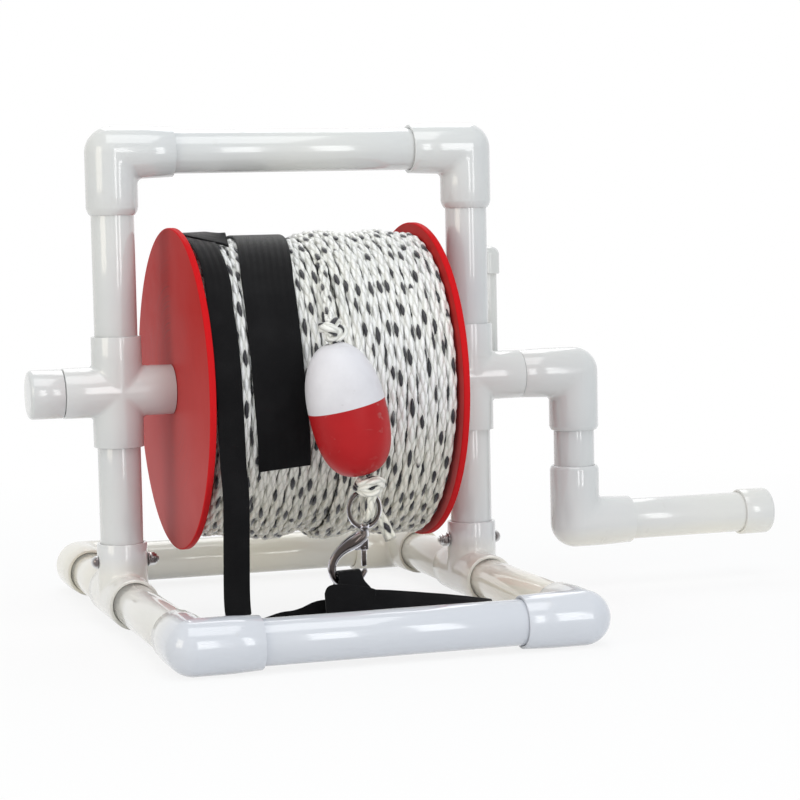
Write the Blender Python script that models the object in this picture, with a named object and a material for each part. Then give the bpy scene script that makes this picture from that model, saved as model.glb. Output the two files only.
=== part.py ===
"""Rescue rope reel: a frame of white PVC pipe and fittings, a cranked reel between two red flanges,
and the rope's end with its float, snap hook and webbing. Metres, +Z up, floor at Z = 0."""

import math

import bmesh
import bpy
import numpy as np
from mathutils import Matrix, Vector

# Pipe and fittings
PIPE_OD = 0.0422
PIPE_WALL = 0.0036
ELBOW_OD = 0.0510
ELBOW_REACH = 0.0604
TEE_OD = 0.0496
TEE_REACH = 0.0542
SOCKET_DEPTH = 0.0300
CAP_OD = 0.0480
CAP_LENGTH = 0.0340
CAP_END = 0.0040
CAP_ROUND = 0.0030
LONG_LIP = 0.0075
SHORT_LIP = 0.0016
LIP_STEP = 0.0024

# Frame, between pipe axes
SPAN = 0.3650
AXLE_HEIGHT = 0.2286
BAR_HEIGHT = 0.4610
FRONT_DEPTH = 0.2990
REAR_DEPTH = 0.2310

# Crank
CRANK_THROW = 0.1580
HANDLE_LENGTH = 0.1270

# Reel
FLANGE_OD = 0.3170
FLANGE_THICKNESS = 0.00635
BARREL_OD = 0.0889
BARREL_WALL = 0.0055
ROPE_OD = 0.0095
ROPE_TURNS = 23
ROPE_SURFACE = 0.1462
RIGHT_RISE = 0.0018
HUMP_RISE = 0.0046
HUMPS = ((0.026, 0.022), (0.082, 0.020))
# How far the slack turns hang below the drum, along it, and over how wide an angle
SAG_X = (-0.1164, -0.0880, -0.0750, -0.0350, -0.0090, 0.0150, 0.0420, 0.0800, 0.1164)
SAG_DROP = (0, 0, 0.0030, 0.0085, 0, 0.0060, 0.0010, 0.0030, 0.0085)
SAG_ANGLE = 60.0
LEAVING_X = 0.0040
TURN_POINTS = 22
DIVE_RADIUS = 0.0130

# Clearances
FIT_GAP = 0.0003
TURN_GAP = 0.0005

# Tee bolts
BOLT_OD = 0.0062
BOLT_RISE = 0.0360
BOLT_HEAD_OD = 0.0120
BOLT_HEAD_HEIGHT = 0.0050
BOLT_END = 0.0030
WASHER_OD = 0.0146
WASHER_THICKNESS = 0.0016
NUT_ACROSS = 0.0104
NUT_HEIGHT = 0.0056

# Lock pin of 1/2 inch pipe
PIN_OD = 0.0213
PIN_WALL = 0.0028
PIN_FITTING_OD = 0.0275
PIN_REACH = 0.0220
PIN_SOCKET = 0.0100
PIN_OUT = 0.0385
PIN_TOP = 0.1317
PIN_CAP_LENGTH = 0.0290

# Rope end, float and snap
FLOAT_OD = 0.0730
FLOAT_LENGTH = 0.1270
FLOAT_LEAN = 0.0281
FLOAT_X = -0.0050
FLOAT_HEIGHT = 0.2173
FLOAT_BORE = 0.0105
FLOAT_STEPS = 10
UPPER_FULLNESS = 0.91
LOWER_FULLNESS = 0.74
ROPE_SHOWS = 0.0005
UPPER_KNOT = 0.0100
UPPER_KNOT_ASIDE = 0.0030
LOWER_KNOT = (0.0095, 0.0085, 0.0074)
LOWER_KNOT_X = 0.0140
LOWER_KNOT_HEIGHT = 0.1480
BIGHT_OD = 0.0088
BIGHT_BEND = 0.0088
BIGHT_ASIDE = 0.0008
BIGHT_DROP = 0.0125
TAIL_OD = 0.0100

# Snap hook, hanging in the float's plane
EYE_RADIUS = 0.0149
EYE_WIRE = 0.0048
EYE_X = 0.0092
EYE_HEIGHT = 0.1212
STEM_OD = 0.0050
STEM_LENGTH = 0.0080
HUB_OD = 0.0100
HUB_HEIGHT = 0.0060
GATE_X = 0.0080
GATE_HEIGHT = 0.0875
GATE_THICKNESS = 0.0056
GATE_DEPTH = 0.0046
GATE_DROP = 0.0182
PIN_HINGE_OD = 0.0024
LUG_WIDTH = 0.0080
LUG_DEPTH = 0.0088
# The hook's middle line: across, height and radius
HOOK = (
    (0.0072, 0.1032, 0.0062), (0.0072, 0.0982, 0.0069), (0.0010, 0.0942, 0.0074),
    (-0.0050, 0.0912, 0.0069), (-0.0122, 0.0872, 0.0054), (-0.0190, 0.0811, 0.0045),
    (-0.0229, 0.0742, 0.0041), (-0.0236, 0.0672, 0.0040), (-0.0219, 0.0608, 0.0039),
    (-0.0174, 0.0558, 0.0038), (-0.0104, 0.0533, 0.0037), (-0.0028, 0.0542, 0.0036),
    (0.0038, 0.0584, 0.0034), (0.0084, 0.0642, 0.0030), (0.0098, 0.0668, 0.0016),
)
# The flat web that fills the hook's shoulder: across, height, and its half sizes
SHOULDER = (0.0010, 0.0905)
SHOULDER_HALF = (0.0105, 0.0045, 0.0065)

# Webbing
WEB_THICKNESS = 0.0022
STRAP_WIDTH = 0.0254
BELT_WIDTH = 0.0510
BELT_TAIL_THICKNESS = 0.0030
BELT_FRONT_ANGLE = -28.0
BELT_BACK_ANGLE = 200.0
STRAP_BACK_ANGLE = 120.0
FLAP_FRONT_ANGLE = 78.0
WEB_STEP = 7.5
# Where the webbing's middle lies along the drum, at angles up from the drum's front
BELT_LAY = ((-28, 0, 17, 33, 46, 60, 90), (-0.0505, -0.0578, -0.0590, -0.0580, -0.0555, -0.0500, -0.0400))
STRAP_LAY = ((0, 33, 46, 63, 78, 120), (-0.1068, -0.1073, -0.1042, -0.1032, -0.1035, -0.1045))
FLAP_LAY = ((78, 120), (-0.0955, -0.1045))

SIDES = 16
SMALL_SIDES = 12
DISC_SIDES = 40
BEND_STEPS = 3

pipe_r = PIPE_OD / 2
bore_r = pipe_r + FIT_GAP
waterway_r = pipe_r - PIPE_WALL
elbow_r = ELBOW_OD / 2
tee_r = TEE_OD / 2
rope_r = ROPE_OD / 2
base_z = elbow_r
upright_x = SPAN / 2
axle_corner_r = pipe_r / math.cos(math.pi / SIDES)
axle_bore_r = axle_corner_r + FIT_GAP
cross_face_x = upright_x + TEE_REACH
reel_end_x = cross_face_x + TURN_GAP
crank_x = reel_end_x + ELBOW_REACH
crank_z = AXLE_HEIGHT - CRANK_THROW
handle_end_x = crank_x + ELBOW_REACH + HANDLE_LENGTH + CAP_LENGTH
cap_face_x = -(reel_end_x + CAP_LENGTH)
flange_face_x = upright_x - TEE_REACH - TURN_GAP
drum_face_x = flange_face_x - FLANGE_THICKNESS
middle_x = (cap_face_x + handle_end_x) / 2
middle_y = (REAR_DEPTH - FRONT_DEPTH) / 2

WHITE = (0.84, 0.84, 0.82), 0.22, 0.0
RED = (0.62, 0.06, 0.05), 0.38, 0.0
ROPE = (0.80, 0.80, 0.74), 0.75, 0.0
BLACK = (0.012, 0.012, 0.014), 0.85, 0.0
STEEL = (0.62, 0.61, 0.58), 0.28, 1.0
FLOAT = (0.80, 0.80, 0.80), 0.35, 0.0

TURNS = {
    "X": Matrix.Rotation(math.pi / 2, 4, "Y"),
    "-X": Matrix.Rotation(-math.pi / 2, 4, "Y"),
    "Y": Matrix.Rotation(-math.pi / 2, 4, "X"),
    "Z": Matrix.Identity(4),
}


def place(x, y, z):
    """A point given from the middle of the uprights, in the row's own frame."""
    return Vector((x - middle_x, y - middle_y, z))


def clear_scene():
    for thing in list(bpy.data.objects):
        bpy.data.objects.remove(thing)


def finish_object(name, data, look):
    """Adds the object with its own material."""
    colour, roughness, metallic = look
    material = bpy.data.materials.new(name)
    material.use_nodes = True
    shader = material.node_tree.nodes["Principled BSDF"]
    shader.inputs["Base Color"].default_value = (*colour, 1)
    shader.inputs["Roughness"].default_value = roughness
    shader.inputs["Metallic"].default_value = metallic
    data.materials.append(material)
    made = bpy.data.objects.new(name, data)
    bpy.context.scene.collection.objects.link(made)
    return made


def mesh_object(name, bm, look):
    """Closes up a bmesh, turns its faces outwards and makes the object."""
    bmesh.ops.remove_doubles(bm, verts=bm.verts, dist=1e-6)
    bmesh.ops.recalc_face_normals(bm, faces=bm.faces)
    mesh = bpy.data.meshes.new(name)
    bm.to_mesh(mesh)
    bm.free()
    mesh.shade_smooth()
    mesh.set_sharp_from_angle(angle=math.radians(35))
    return finish_object(name, mesh, look)


def spin_profile(bm, profile, sides, closed):
    """Turns a profile of (radius, height) round Z. Its flats, not its corners, lie at the radius."""
    stretch = 1 / math.cos(math.pi / sides)
    start = math.pi / sides
    verts = []
    for radius, height in profile:
        corner = radius * stretch
        verts.append(bm.verts.new((corner * math.cos(start), corner * math.sin(start), height)))
    edges = [bm.edges.new(pair) for pair in zip(verts, verts[1:])]
    if closed:
        edges.append(bm.edges.new((verts[-1], verts[0])))
    bmesh.ops.spin(bm, geom=verts + edges, cent=(0, 0, 0), axis=(0, 0, 1), angle=math.tau, steps=sides)


def turned(name, profile, axis, centre, look, sides=SIDES, closed=False):
    bm = bmesh.new()
    spin_profile(bm, profile, sides, closed)
    made = mesh_object(name, bm, look)
    made.matrix_world = Matrix.Translation(centre) @ TURNS[axis]
    return made


def combine(body, tool, operation):
    """Joins the tool to the body, or cuts it away, and removes the tool."""
    change = body.modifiers.new(operation.lower(), "BOOLEAN")
    change.operation = operation
    change.solver = "EXACT"
    change.object = tool
    bpy.context.view_layer.update()
    result = body.evaluated_get(bpy.context.evaluated_depsgraph_get())
    mesh = bpy.data.meshes.new_from_object(result)
    body.modifiers.clear()
    body.data = mesh
    mesh.shade_smooth()
    mesh.set_sharp_from_angle(angle=math.radians(35))
    bpy.data.objects.remove(tool)


def rod(radius, half_length, axis, centre, sides=SIDES):
    profile = [(0, -half_length), (radius, -half_length), (radius, half_length), (0, half_length)]
    return turned("tool", profile, axis, centre, WHITE, sides)


def tube(name, axis, centre, half_length, look=WHITE, outer=pipe_r, wall=PIPE_WALL, sides=SIDES):
    inner = outer - wall
    profile = [(inner, -half_length), (outer, -half_length), (outer, half_length), (inner, half_length)]
    return turned(name, profile, axis, centre, look, sides, closed=True)


def tube_between(name, axis, start, end, **sizes):
    """A tube from one end point to the other, which lie on one line along the axis."""
    return tube(name, axis, (start + end) / 2, (end - start).length / 2, **sizes)


def elbow(name, corner, arm_a, arm_b, lips, outer=elbow_r, bore=bore_r, waterway=waterway_r,
          reach=ELBOW_REACH, socket=SOCKET_DEPTH, sides=SIDES):
    """A hollow 90 degree elbow: round on the outside of the bend, a sharp mitre on the inside."""
    side = arm_a.cross(arm_b)
    stretch = 1 / math.cos(math.pi / sides)

    def ring(radius, arm, other, distance):
        points = []
        for k in range(sides):
            turn = math.tau * (k + 0.5) / sides
            out = radius * stretch * math.cos(turn)
            across = radius * stretch * math.sin(turn)
            points.append(corner + arm * max(distance, -out) - other * out + side * across)
        return points

    def bend(radius, steps):
        rings = []
        for step in range(steps + 1):
            swing = math.pi / 2 * step / steps
            points = []
            for k in range(sides):
                turn = math.tau * (k + 0.5) / sides
                out = radius * stretch * math.cos(turn)
                across = radius * stretch * math.sin(turn)
                if out < 0:
                    inward = -(arm_a + arm_b) * out
                else:
                    inward = -(arm_b * math.cos(swing) + arm_a * math.sin(swing)) * out
                points.append(corner + inward + side * across)
            rings.append(points)
        return rings

    stop = reach - socket
    rings = [
        ring(outer - LIP_STEP * outer / elbow_r, arm_a, arm_b, reach),
        ring(outer, arm_a, arm_b, reach - lips[0]),
        *bend(outer, BEND_STEPS),
        ring(outer, arm_b, arm_a, reach - lips[1]),
        ring(outer - LIP_STEP * outer / elbow_r, arm_b, arm_a, reach),
        ring(bore, arm_b, arm_a, reach),
        ring(bore, arm_b, arm_a, stop),
        ring(waterway, arm_b, arm_a, stop),
        *reversed(bend(waterway, 1)),
        ring(waterway, arm_a, arm_b, stop),
        ring(bore, arm_a, arm_b, stop),
        ring(bore, arm_a, arm_b, reach),
    ]
    bm = bmesh.new()
    rows = [[bm.verts.new(point) for point in points] for points in rings]
    for row, following in zip(rows, rows[1:] + rows[:1]):
        for k in range(sides):
            n = (k + 1) % sides
            bm.faces.new((row[k], row[n], following[n], following[k]))
    return mesh_object(name, bm, WHITE)


def socket_core(reach, socket):
    """The hollow of a straight run: a pipe socket at each mouth and the narrower way between them."""
    stop = reach - socket
    beyond = reach + 0.002
    return [
        (0, -beyond), (bore_r, -beyond), (bore_r, -stop), (waterway_r, -stop),
        (waterway_r, stop), (bore_r, stop), (bore_r, beyond), (0, beyond),
    ]


def cross_fitting(name, x):
    """A four-way fitting whose level branches are bored through for the axle to turn in."""
    centre = place(x, 0, AXLE_HEIGHT)
    profile = [(0, -TEE_REACH), (tee_r, -TEE_REACH), (tee_r, TEE_REACH), (0, TEE_REACH)]
    body = turned(name, profile, "Z", centre, WHITE)
    combine(body, rod(tee_r, TEE_REACH, "X", centre), "UNION")
    upright_way = turned("tool", socket_core(TEE_REACH, SOCKET_DEPTH), "Z", centre, WHITE)
    combine(body, upright_way, "DIFFERENCE")
    combine(body, rod(axle_bore_r, TEE_REACH + 0.002, "X", centre), "DIFFERENCE")
    return body


def base_tee(name, x):
    """A tee on its side: sockets to front and rear, and one upwards for the upright and its bolt."""
    centre = place(x, 0, base_z)
    profile = [(0, -TEE_REACH), (tee_r, -TEE_REACH), (tee_r, TEE_REACH), (0, TEE_REACH)]
    body = turned(name, profile, "Y", centre, WHITE)
    branch = [(0, 0), (tee_r, 0), (tee_r, TEE_REACH), (0, TEE_REACH)]
    combine(body, turned("tool", branch, "Z", centre, WHITE), "UNION")
    combine(body, turned("tool", socket_core(TEE_REACH, SOCKET_DEPTH), "Y", centre, WHITE), "DIFFERENCE")
    stop = TEE_REACH - SOCKET_DEPTH
    way = [(0, 0), (waterway_r, 0), (waterway_r, stop), (bore_r, stop), (bore_r, TEE_REACH + 0.002),
           (0, TEE_REACH + 0.002)]
    combine(body, turned("tool", way, "Z", centre, WHITE), "DIFFERENCE")
    combine(body, bolt_hole(x), "DIFFERENCE")
    return body


def bolt_hole(x):
    return rod(BOLT_OD / 2 + 2 * FIT_GAP, tee_r + 0.005, "X", place(x, 0, base_z + BOLT_RISE), sides=8)


def end_cap(name, face, axis, outer=CAP_OD / 2, inner=bore_r, length=CAP_LENGTH, end=CAP_END,
            corner=CAP_ROUND, steps=2, sides=SIDES):
    """A pipe cap whose closed face lies at the given point and whose mouth opens along the axis."""
    arc = []
    for step in range(steps + 1):
        swing = math.pi / 2 * step / steps
        arc.append((outer - corner + corner * math.cos(swing), corner - corner * math.sin(swing)))
    profile = [(0, end), (inner, end), (inner, length), (outer, length), *arc, (0, 0)]
    return turned(name, profile, axis, face, WHITE, sides)


def make_frame():
    stop = ELBOW_REACH - SOCKET_DEPTH + FIT_GAP
    tee_stop = TEE_REACH - SOCKET_DEPTH + FIT_GAP
    made = []
    for name, y in (("front", -FRONT_DEPTH), ("rear", REAR_DEPTH)):
        start = place(-upright_x + stop, y, base_z)
        end = place(upright_x - stop, y, base_z)
        made.append(tube_between(f"{name}_base_tube", "X", start, end))
    for side, x, inward in (("left", -upright_x, 1), ("right", upright_x, -1)):
        for end, y, outward in (("front", -FRONT_DEPTH, -1), ("rear", REAR_DEPTH, 1)):
            near = place(x, outward * tee_stop, base_z)
            far = place(x, y - outward * stop, base_z)
            made.append(tube_between(f"{side}_{end}_side_tube", "Y", near, far))
            corner = place(x, y, base_z)
            arms = Vector((inward, 0, 0)), Vector((0, -outward, 0))
            made.append(elbow(f"{end}_{side}_elbow", corner, *arms, (SHORT_LIP, SHORT_LIP)))
        made.append(base_tee(f"{side}_base_tee", x))
        foot = place(x, 0, base_z + tee_stop)
        lower = tube_between(f"{side}_lower_upright", "Z", foot, place(x, 0, AXLE_HEIGHT - tee_stop))
        combine(lower, bolt_hole(x), "DIFFERENCE")
        made.append(lower)
        made.append(cross_fitting(f"{side}_cross", x))
        above = place(x, 0, AXLE_HEIGHT + tee_stop)
        made.append(tube_between(f"{side}_upper_upright", "Z", above, place(x, 0, BAR_HEIGHT - stop)))
        corner = place(x, 0, BAR_HEIGHT)
        arms = Vector((inward, 0, 0)), Vector((0, 0, -1))
        made.append(elbow(f"top_{side}_elbow", corner, *arms, (SHORT_LIP, LONG_LIP)))
    start = place(-upright_x + stop, 0, BAR_HEIGHT)
    made.append(tube_between("carry_bar", "X", start, place(upright_x - stop, 0, BAR_HEIGHT)))
    return made


def make_bolts():
    """A domed bolt through each tee and upright, with its washer and nut on the inner side."""
    shank = BOLT_OD / 2
    reach = tee_r + WASHER_THICKNESS + NUT_HEIGHT + BOLT_END + 4 * FIT_GAP
    head = [(0, tee_r + FIT_GAP + BOLT_HEAD_HEIGHT)]
    for share in (0.62, 1.0):
        rise = BOLT_HEAD_HEIGHT * math.sqrt(1 - share ** 2)
        head.append((BOLT_HEAD_OD / 2 * share, tee_r + FIT_GAP + rise))
    bolt = [(0, -reach), (shank, -reach), (shank, tee_r + FIT_GAP), *head[::-1]]
    washer_low = tee_r + FIT_GAP
    washer_high = washer_low + WASHER_THICKNESS
    hole = shank + 2 * FIT_GAP
    washer = [(hole, -washer_high), (WASHER_OD / 2, -washer_high), (WASHER_OD / 2, -washer_low),
              (hole, -washer_low)]
    nut_low = washer_high + FIT_GAP
    nut = [(hole, -nut_low - NUT_HEIGHT), (NUT_ACROSS / 2, -nut_low - NUT_HEIGHT),
           (NUT_ACROSS / 2, -nut_low), (hole, -nut_low)]
    for side, x, axis in (("left", -upright_x, "-X"), ("right", upright_x, "X")):
        centre = place(x, 0, base_z + BOLT_RISE)
        turned(f"{side}_tee_bolt", bolt, axis, centre, STEEL, 8)
        turned(f"{side}_tee_washer", washer, axis, centre, STEEL, 12, closed=True)
        turned(f"{side}_tee_nut", nut, axis, centre, STEEL, 6, closed=True)


def rope_centre_radius(x, left):
    """How far out the rope's centre line runs: the layer in view swells over the turns heaped below it."""
    radius = ROPE_SURFACE - rope_r
    if left:
        return radius
    swell = sum(math.exp(-((x - middle) / width) ** 2) for middle, width in HUMPS)
    return radius + RIGHT_RISE + HUMP_RISE * min(swell, 1)


def sag(x, angle):
    """How far a slack turn hangs off the drum, all of it round the drum's underside."""
    from_below = math.degrees(math.remainder(angle + math.pi / 2, math.tau))
    if abs(from_below) > SAG_ANGLE:
        return 0
    share = math.cos(math.pi / 2 * from_below / SAG_ANGLE) ** 2
    return share * float(np.interp(x, SAG_X, SAG_DROP))


def rope_point(turn, left, loose_angle, loose_turn):
    """A point of the winding. Angle 0 is the drum's front and 90 degrees its top."""
    x = winding_x - winding_pitch * turn
    angle = loose_angle + math.tau * (loose_turn - turn)
    radius = rope_centre_radius(x, left) + sag(x, angle)
    return Vector((x, -radius * math.cos(angle), AXLE_HEIGHT + radius * math.sin(angle))), angle


winding_x = drum_face_x - FIT_GAP - rope_r
winding_pitch = 2 * winding_x / ROPE_TURNS

float_axis = Vector((-FLOAT_LEAN, 0, math.sqrt(FLOAT_LENGTH ** 2 - FLOAT_LEAN ** 2))).normalized()
float_y = -(ROPE_SURFACE + RIGHT_RISE + HUMP_RISE + TURN_GAP + FLOAT_OD / 2)
float_centre = Vector((FLOAT_X, float_y, FLOAT_HEIGHT))
aside = Vector((float_axis.z, 0, -float_axis.x))
knot_reach = FLOAT_LENGTH / 2 + FIT_GAP + UPPER_KNOT * 0.9
knot_centre = float_centre + float_axis * knot_reach + aside * UPPER_KNOT_ASIDE


def leaving_point():
    """Where the rope leaves the drum: the turn, and the angle whose tangent runs to the upper knot."""
    rise = knot_centre.z - AXLE_HEIGHT
    distance = math.hypot(knot_centre.y, rise)
    radius = rope_centre_radius(LEAVING_X, False)
    angle = math.atan2(rise, -knot_centre.y) + math.acos(radius / distance)
    return (winding_x - LEAVING_X) / winding_pitch, angle


def dive(last, angle, towards):
    """The rope's way down into the layer below: a quarter bend, then one diameter straight in."""
    out = Vector((0, -math.cos(angle), math.sin(angle)))
    along = Vector((0, math.sin(angle), math.cos(angle))) * towards
    centre = last - out * DIVE_RADIUS
    points = []
    for step in range(1, 5):
        swing = math.pi / 2 * step / 4
        points.append(centre + along * DIVE_RADIUS * math.sin(swing) + out * DIVE_RADIUS * math.cos(swing))
    points.append(points[-1] - out * ROPE_OD)
    return points


def winding_points(first_turn, last_turn, left):
    """The rope's centre line from one turn to another, in even steps of the loop."""
    loose_turn, loose_angle = leaving_point()
    steps = math.ceil((last_turn - first_turn) * TURN_POINTS - 1e-6)
    points = []
    angles = []
    for step in range(steps + 1):
        turn = first_turn + (last_turn - first_turn) * step / steps
        point, angle = rope_point(turn, left, loose_angle, loose_turn)
        points.append(point)
        angles.append(angle)
    return points, angles


def right_turns_points():
    """From the right flange to the point where the rope leaves the drum, ending straight."""
    loose_turn, _ = leaving_point()
    points, angles = winding_points(0, loose_turn, False)
    start = dive(points[0], angles[0], 1)
    straight = Vector((0, -math.sin(angles[-1]), -math.cos(angles[-1]))) * ROPE_OD
    return start[::-1] + points + [points[-1] + straight]


def left_turns_points():
    """From just past the leaving point to the left flange, with both ends going down into the drum."""
    loose_turn, _ = leaving_point()
    points, angles = winding_points(loose_turn + 0.07, ROPE_TURNS, True)
    start = dive(points[0], angles[0], 1)
    return start[::-1] + points + dive(points[-1], angles[-1], -1)


def tube_curve(name, points, radius, look, resolution=2, radii=None):
    """A round tube along points, with closed ends."""
    curve = bpy.data.curves.new(name, "CURVE")
    curve.dimensions = "3D"
    curve.bevel_depth = radius
    curve.bevel_resolution = resolution
    curve.use_fill_caps = True
    line = curve.splines.new("POLY")
    line.points.add(len(points) - 1)
    for k, point in enumerate(points):
        line.points[k].co = (*place(*point), 1)
        line.points[k].radius = radii[k] if radii else 1
    line.use_smooth = True
    return finish_object(name, curve, look)


def least_gap(points):
    """The least gap between the tube and its own other turns, from points along it."""
    skip = TURN_POINTS // 2
    least = min((points[a] - points[b]).length for a in range(len(points))
                for b in range(a + skip, min(a + 2 * TURN_POINTS, len(points))))
    return least - ROPE_OD


def pocket(dip):
    """The hole in the layers below that a rope's end goes down into, from where it starts to dip."""
    dip_start, last = dip[0], dip[-1]
    out = (dip[-2] - last).normalized()
    across = Vector((1, 0, 0))
    along = out.cross(across)
    if along.dot(last - dip_start) < 0:
        along = -along
    margin = rope_r + 2 * FIT_GAP
    back = (dip_start - last).dot(along)
    at_flange = abs(last.x) > winding_x - winding_pitch / 2
    half = Vector((margin + (PIPE_WALL if at_flange else 0), (margin - back) / 2, ROPE_OD * 2))
    centre = last - out * FIT_GAP + along * ((margin + back) / 2) + out * half.z
    bm = bmesh.new()
    bmesh.ops.create_cube(bm, size=2)
    turn = Matrix((across, along, out)).transposed().to_4x4()
    bmesh.ops.transform(bm, matrix=turn @ Matrix.Diagonal((*half, 1)), verts=bm.verts)
    tool = mesh_object("tool", bm, ROPE)
    tool.matrix_world = Matrix.Translation(place(*centre))
    return tool


def make_reel():
    axle_centre_x = (cap_face_x + CAP_END + reel_end_x + SOCKET_DEPTH) / 2
    half = (reel_end_x + SOCKET_DEPTH - cap_face_x - CAP_END) / 2 - FIT_GAP
    axis_height = AXLE_HEIGHT
    made = [tube("axle_tube", "X", place(axle_centre_x, 0, axis_height), half)]
    hole = axle_corner_r + FIT_GAP
    for name, x in (("left_flange", -drum_face_x - FLANGE_THICKNESS / 2),
                    ("right_flange", drum_face_x + FLANGE_THICKNESS / 2)):
        t = FLANGE_THICKNESS / 2
        profile = [(hole, -t), (FLANGE_OD / 2, -t), (FLANGE_OD / 2, t), (hole, t)]
        centre = place(x, 0, axis_height)
        made.append(turned(name, profile, "X", centre, RED, DISC_SIDES, closed=True))
    half = drum_face_x - FIT_GAP
    centre = place(0, 0, axis_height)
    sizes = dict(outer=BARREL_OD / 2, wall=BARREL_WALL, sides=DISC_SIDES // 2)
    made.append(tube("drum_barrel", "X", centre, half, **sizes))
    made += make_rope(half, centre)
    made.append(end_cap("axle_end_cap", place(cap_face_x, 0, axis_height), "X"))
    return made


def make_rope(half, centre):
    """The layer in view as two tubes, and the layers below it as a plain core."""
    right, left = right_turns_points(), left_turns_points()
    for name, points in (("right", right), ("left", left)):
        print(f"least gap between turns, {name}: {least_gap(points) * 1000:.2f} mm")
    chord = math.cos(math.pi / TURN_POINTS)
    flats = math.cos(math.pi / DISC_SIDES)
    under = {}
    for side, swell in (("left", 0), ("right", RIGHT_RISE)):
        under[side] = ((ROPE_SURFACE + swell - rope_r) * chord - rope_r - FIT_GAP) * flats
    loose_turn, _ = leaving_point()
    step_x = winding_x - winding_pitch * loose_turn + rope_r + FIT_GAP
    inner = BARREL_OD / 2 / math.cos(math.pi / DISC_SIDES * 2) + FIT_GAP
    profile = [(inner, -half), (under["left"], -half), (under["left"], step_x), (under["right"], step_x),
               (under["right"], half), (inner, half)]
    core = turned("rope_inner_layers", profile, "X", centre, ROPE, DISC_SIDES, closed=True)
    for end in (right[5::-1], left[5::-1], left[-6:]):
        combine(core, pocket(end), "DIFFERENCE")
    made = [core]
    made.append(tube_curve("rope_right_turns", right, rope_r, ROPE, 1))
    made.append(tube_curve("rope_left_turns", left, rope_r, ROPE, 1))
    return made


def make_crank():
    stop = ELBOW_REACH - SOCKET_DEPTH + FIT_GAP
    left, right = Vector((-1, 0, 0)), Vector((1, 0, 0))
    up, down = Vector((0, 0, 1)), Vector((0, 0, -1))
    top = place(crank_x, 0, AXLE_HEIGHT)
    bottom = place(crank_x, 0, crank_z)
    made = [elbow("crank_axle_elbow", top, left, down, (SHORT_LIP, LONG_LIP / 2))]
    arm = bottom + up * stop, top + down * stop
    made.append(tube_between("crank_arm_tube", "Z", *arm))
    made.append(elbow("crank_handle_elbow", bottom, right, up, (SHORT_LIP, LONG_LIP / 3)))
    start = bottom + right * stop
    end = place(handle_end_x - CAP_END - FIT_GAP, 0, crank_z)
    made.append(tube_between("crank_handle_tube", "X", start, end))
    made.append(end_cap("crank_handle_cap", place(handle_end_x, 0, crank_z), "-X"))
    return made


def make_lock_pin():
    """A pull pin of small pipe: the shank in the right cross's rear wall, and an upright grip behind."""
    x = upright_x + PIN_OUT
    grip_y = tee_r + TURN_GAP + PIN_REACH
    corner = place(x, grip_y, AXLE_HEIGHT)
    radius = PIN_OD / 2
    stop = PIN_REACH - PIN_SOCKET + FIT_GAP
    tip = place(x, axle_corner_r + TURN_GAP, AXLE_HEIGHT)
    small = dict(outer=radius, wall=PIN_WALL, sides=SMALL_SIDES)
    made = [tube_between("lock_pin_shank", "Y", tip, corner - Vector((0, stop, 0)), **small)]
    arms = Vector((0, -1, 0)), Vector((0, 0, 1))
    fitting = dict(outer=PIN_FITTING_OD / 2, bore=radius + FIT_GAP, waterway=radius - PIN_WALL,
                   reach=PIN_REACH, socket=PIN_SOCKET, sides=SMALL_SIDES)
    made.append(elbow("lock_pin_elbow", corner, *arms, (SHORT_LIP / 2, SHORT_LIP / 2), **fitting))
    top = corner + Vector((0, 0, PIN_TOP))
    end = top - Vector((0, 0, CAP_END + FIT_GAP))
    made.append(tube_between("lock_pin_grip", "Z", corner + Vector((0, 0, stop)), end, **small))
    dome = PIN_FITTING_OD / 2 * 0.7
    cap = end_cap("lock_pin_cap", top, "Z", outer=PIN_FITTING_OD / 2, inner=radius + FIT_GAP,
                  length=PIN_CAP_LENGTH, corner=dome, end=CAP_END, steps=3, sides=SMALL_SIDES)
    cap.matrix_world = Matrix.Translation(top) @ Matrix.Rotation(math.pi, 4, "X")
    made.append(cap)
    cross = bpy.data.objects["right_cross"]
    hole = rod(radius + FIT_GAP, tee_r, "Y", place(x, tee_r + 0.001, AXLE_HEIGHT), SMALL_SIDES)
    combine(cross, hole, "DIFFERENCE")
    return made


def smooth_route(points, spacing):
    """Even points on a smooth curve through the chosen ones."""
    route = [Vector(p) for p in points]
    padded = [route[0] * 2 - route[1], *route, route[-1] * 2 - route[-2]]
    fine = []
    for before, a, b, after in zip(padded, padded[1:], padded[2:], padded[3:]):
        for step in range(16):
            t = step / 16
            fine.append(0.5 * (2 * a + (b - before) * t + (2 * before - 5 * a + 4 * b - after) * t ** 2
                               + (3 * a - before - 3 * b + after) * t ** 3))
    fine.append(route[-1])
    lengths = [0]
    for a, b in zip(fine, fine[1:]):
        lengths.append(lengths[-1] + (b - a).length)
    count = max(2, round(lengths[-1] / spacing))
    even = []
    k = 0
    for step in range(count + 1):
        goal = lengths[-1] * step / count
        while k < len(fine) - 2 and lengths[k + 1] < goal:
            k += 1
        share = (goal - lengths[k]) / max(lengths[k + 1] - lengths[k], 1e-9)
        even.append(fine[k].lerp(fine[k + 1], min(max(share, 0), 1)))
    return even


def lump(name, centre, radii, look):
    bm = bmesh.new()
    bmesh.ops.create_uvsphere(bm, u_segments=12, v_segments=8, radius=1)
    bmesh.ops.transform(bm, matrix=Matrix.Diagonal((*radii, 1)), verts=bm.verts)
    made = mesh_object(name, bm, look)
    made.location = place(*centre)
    return made


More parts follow.
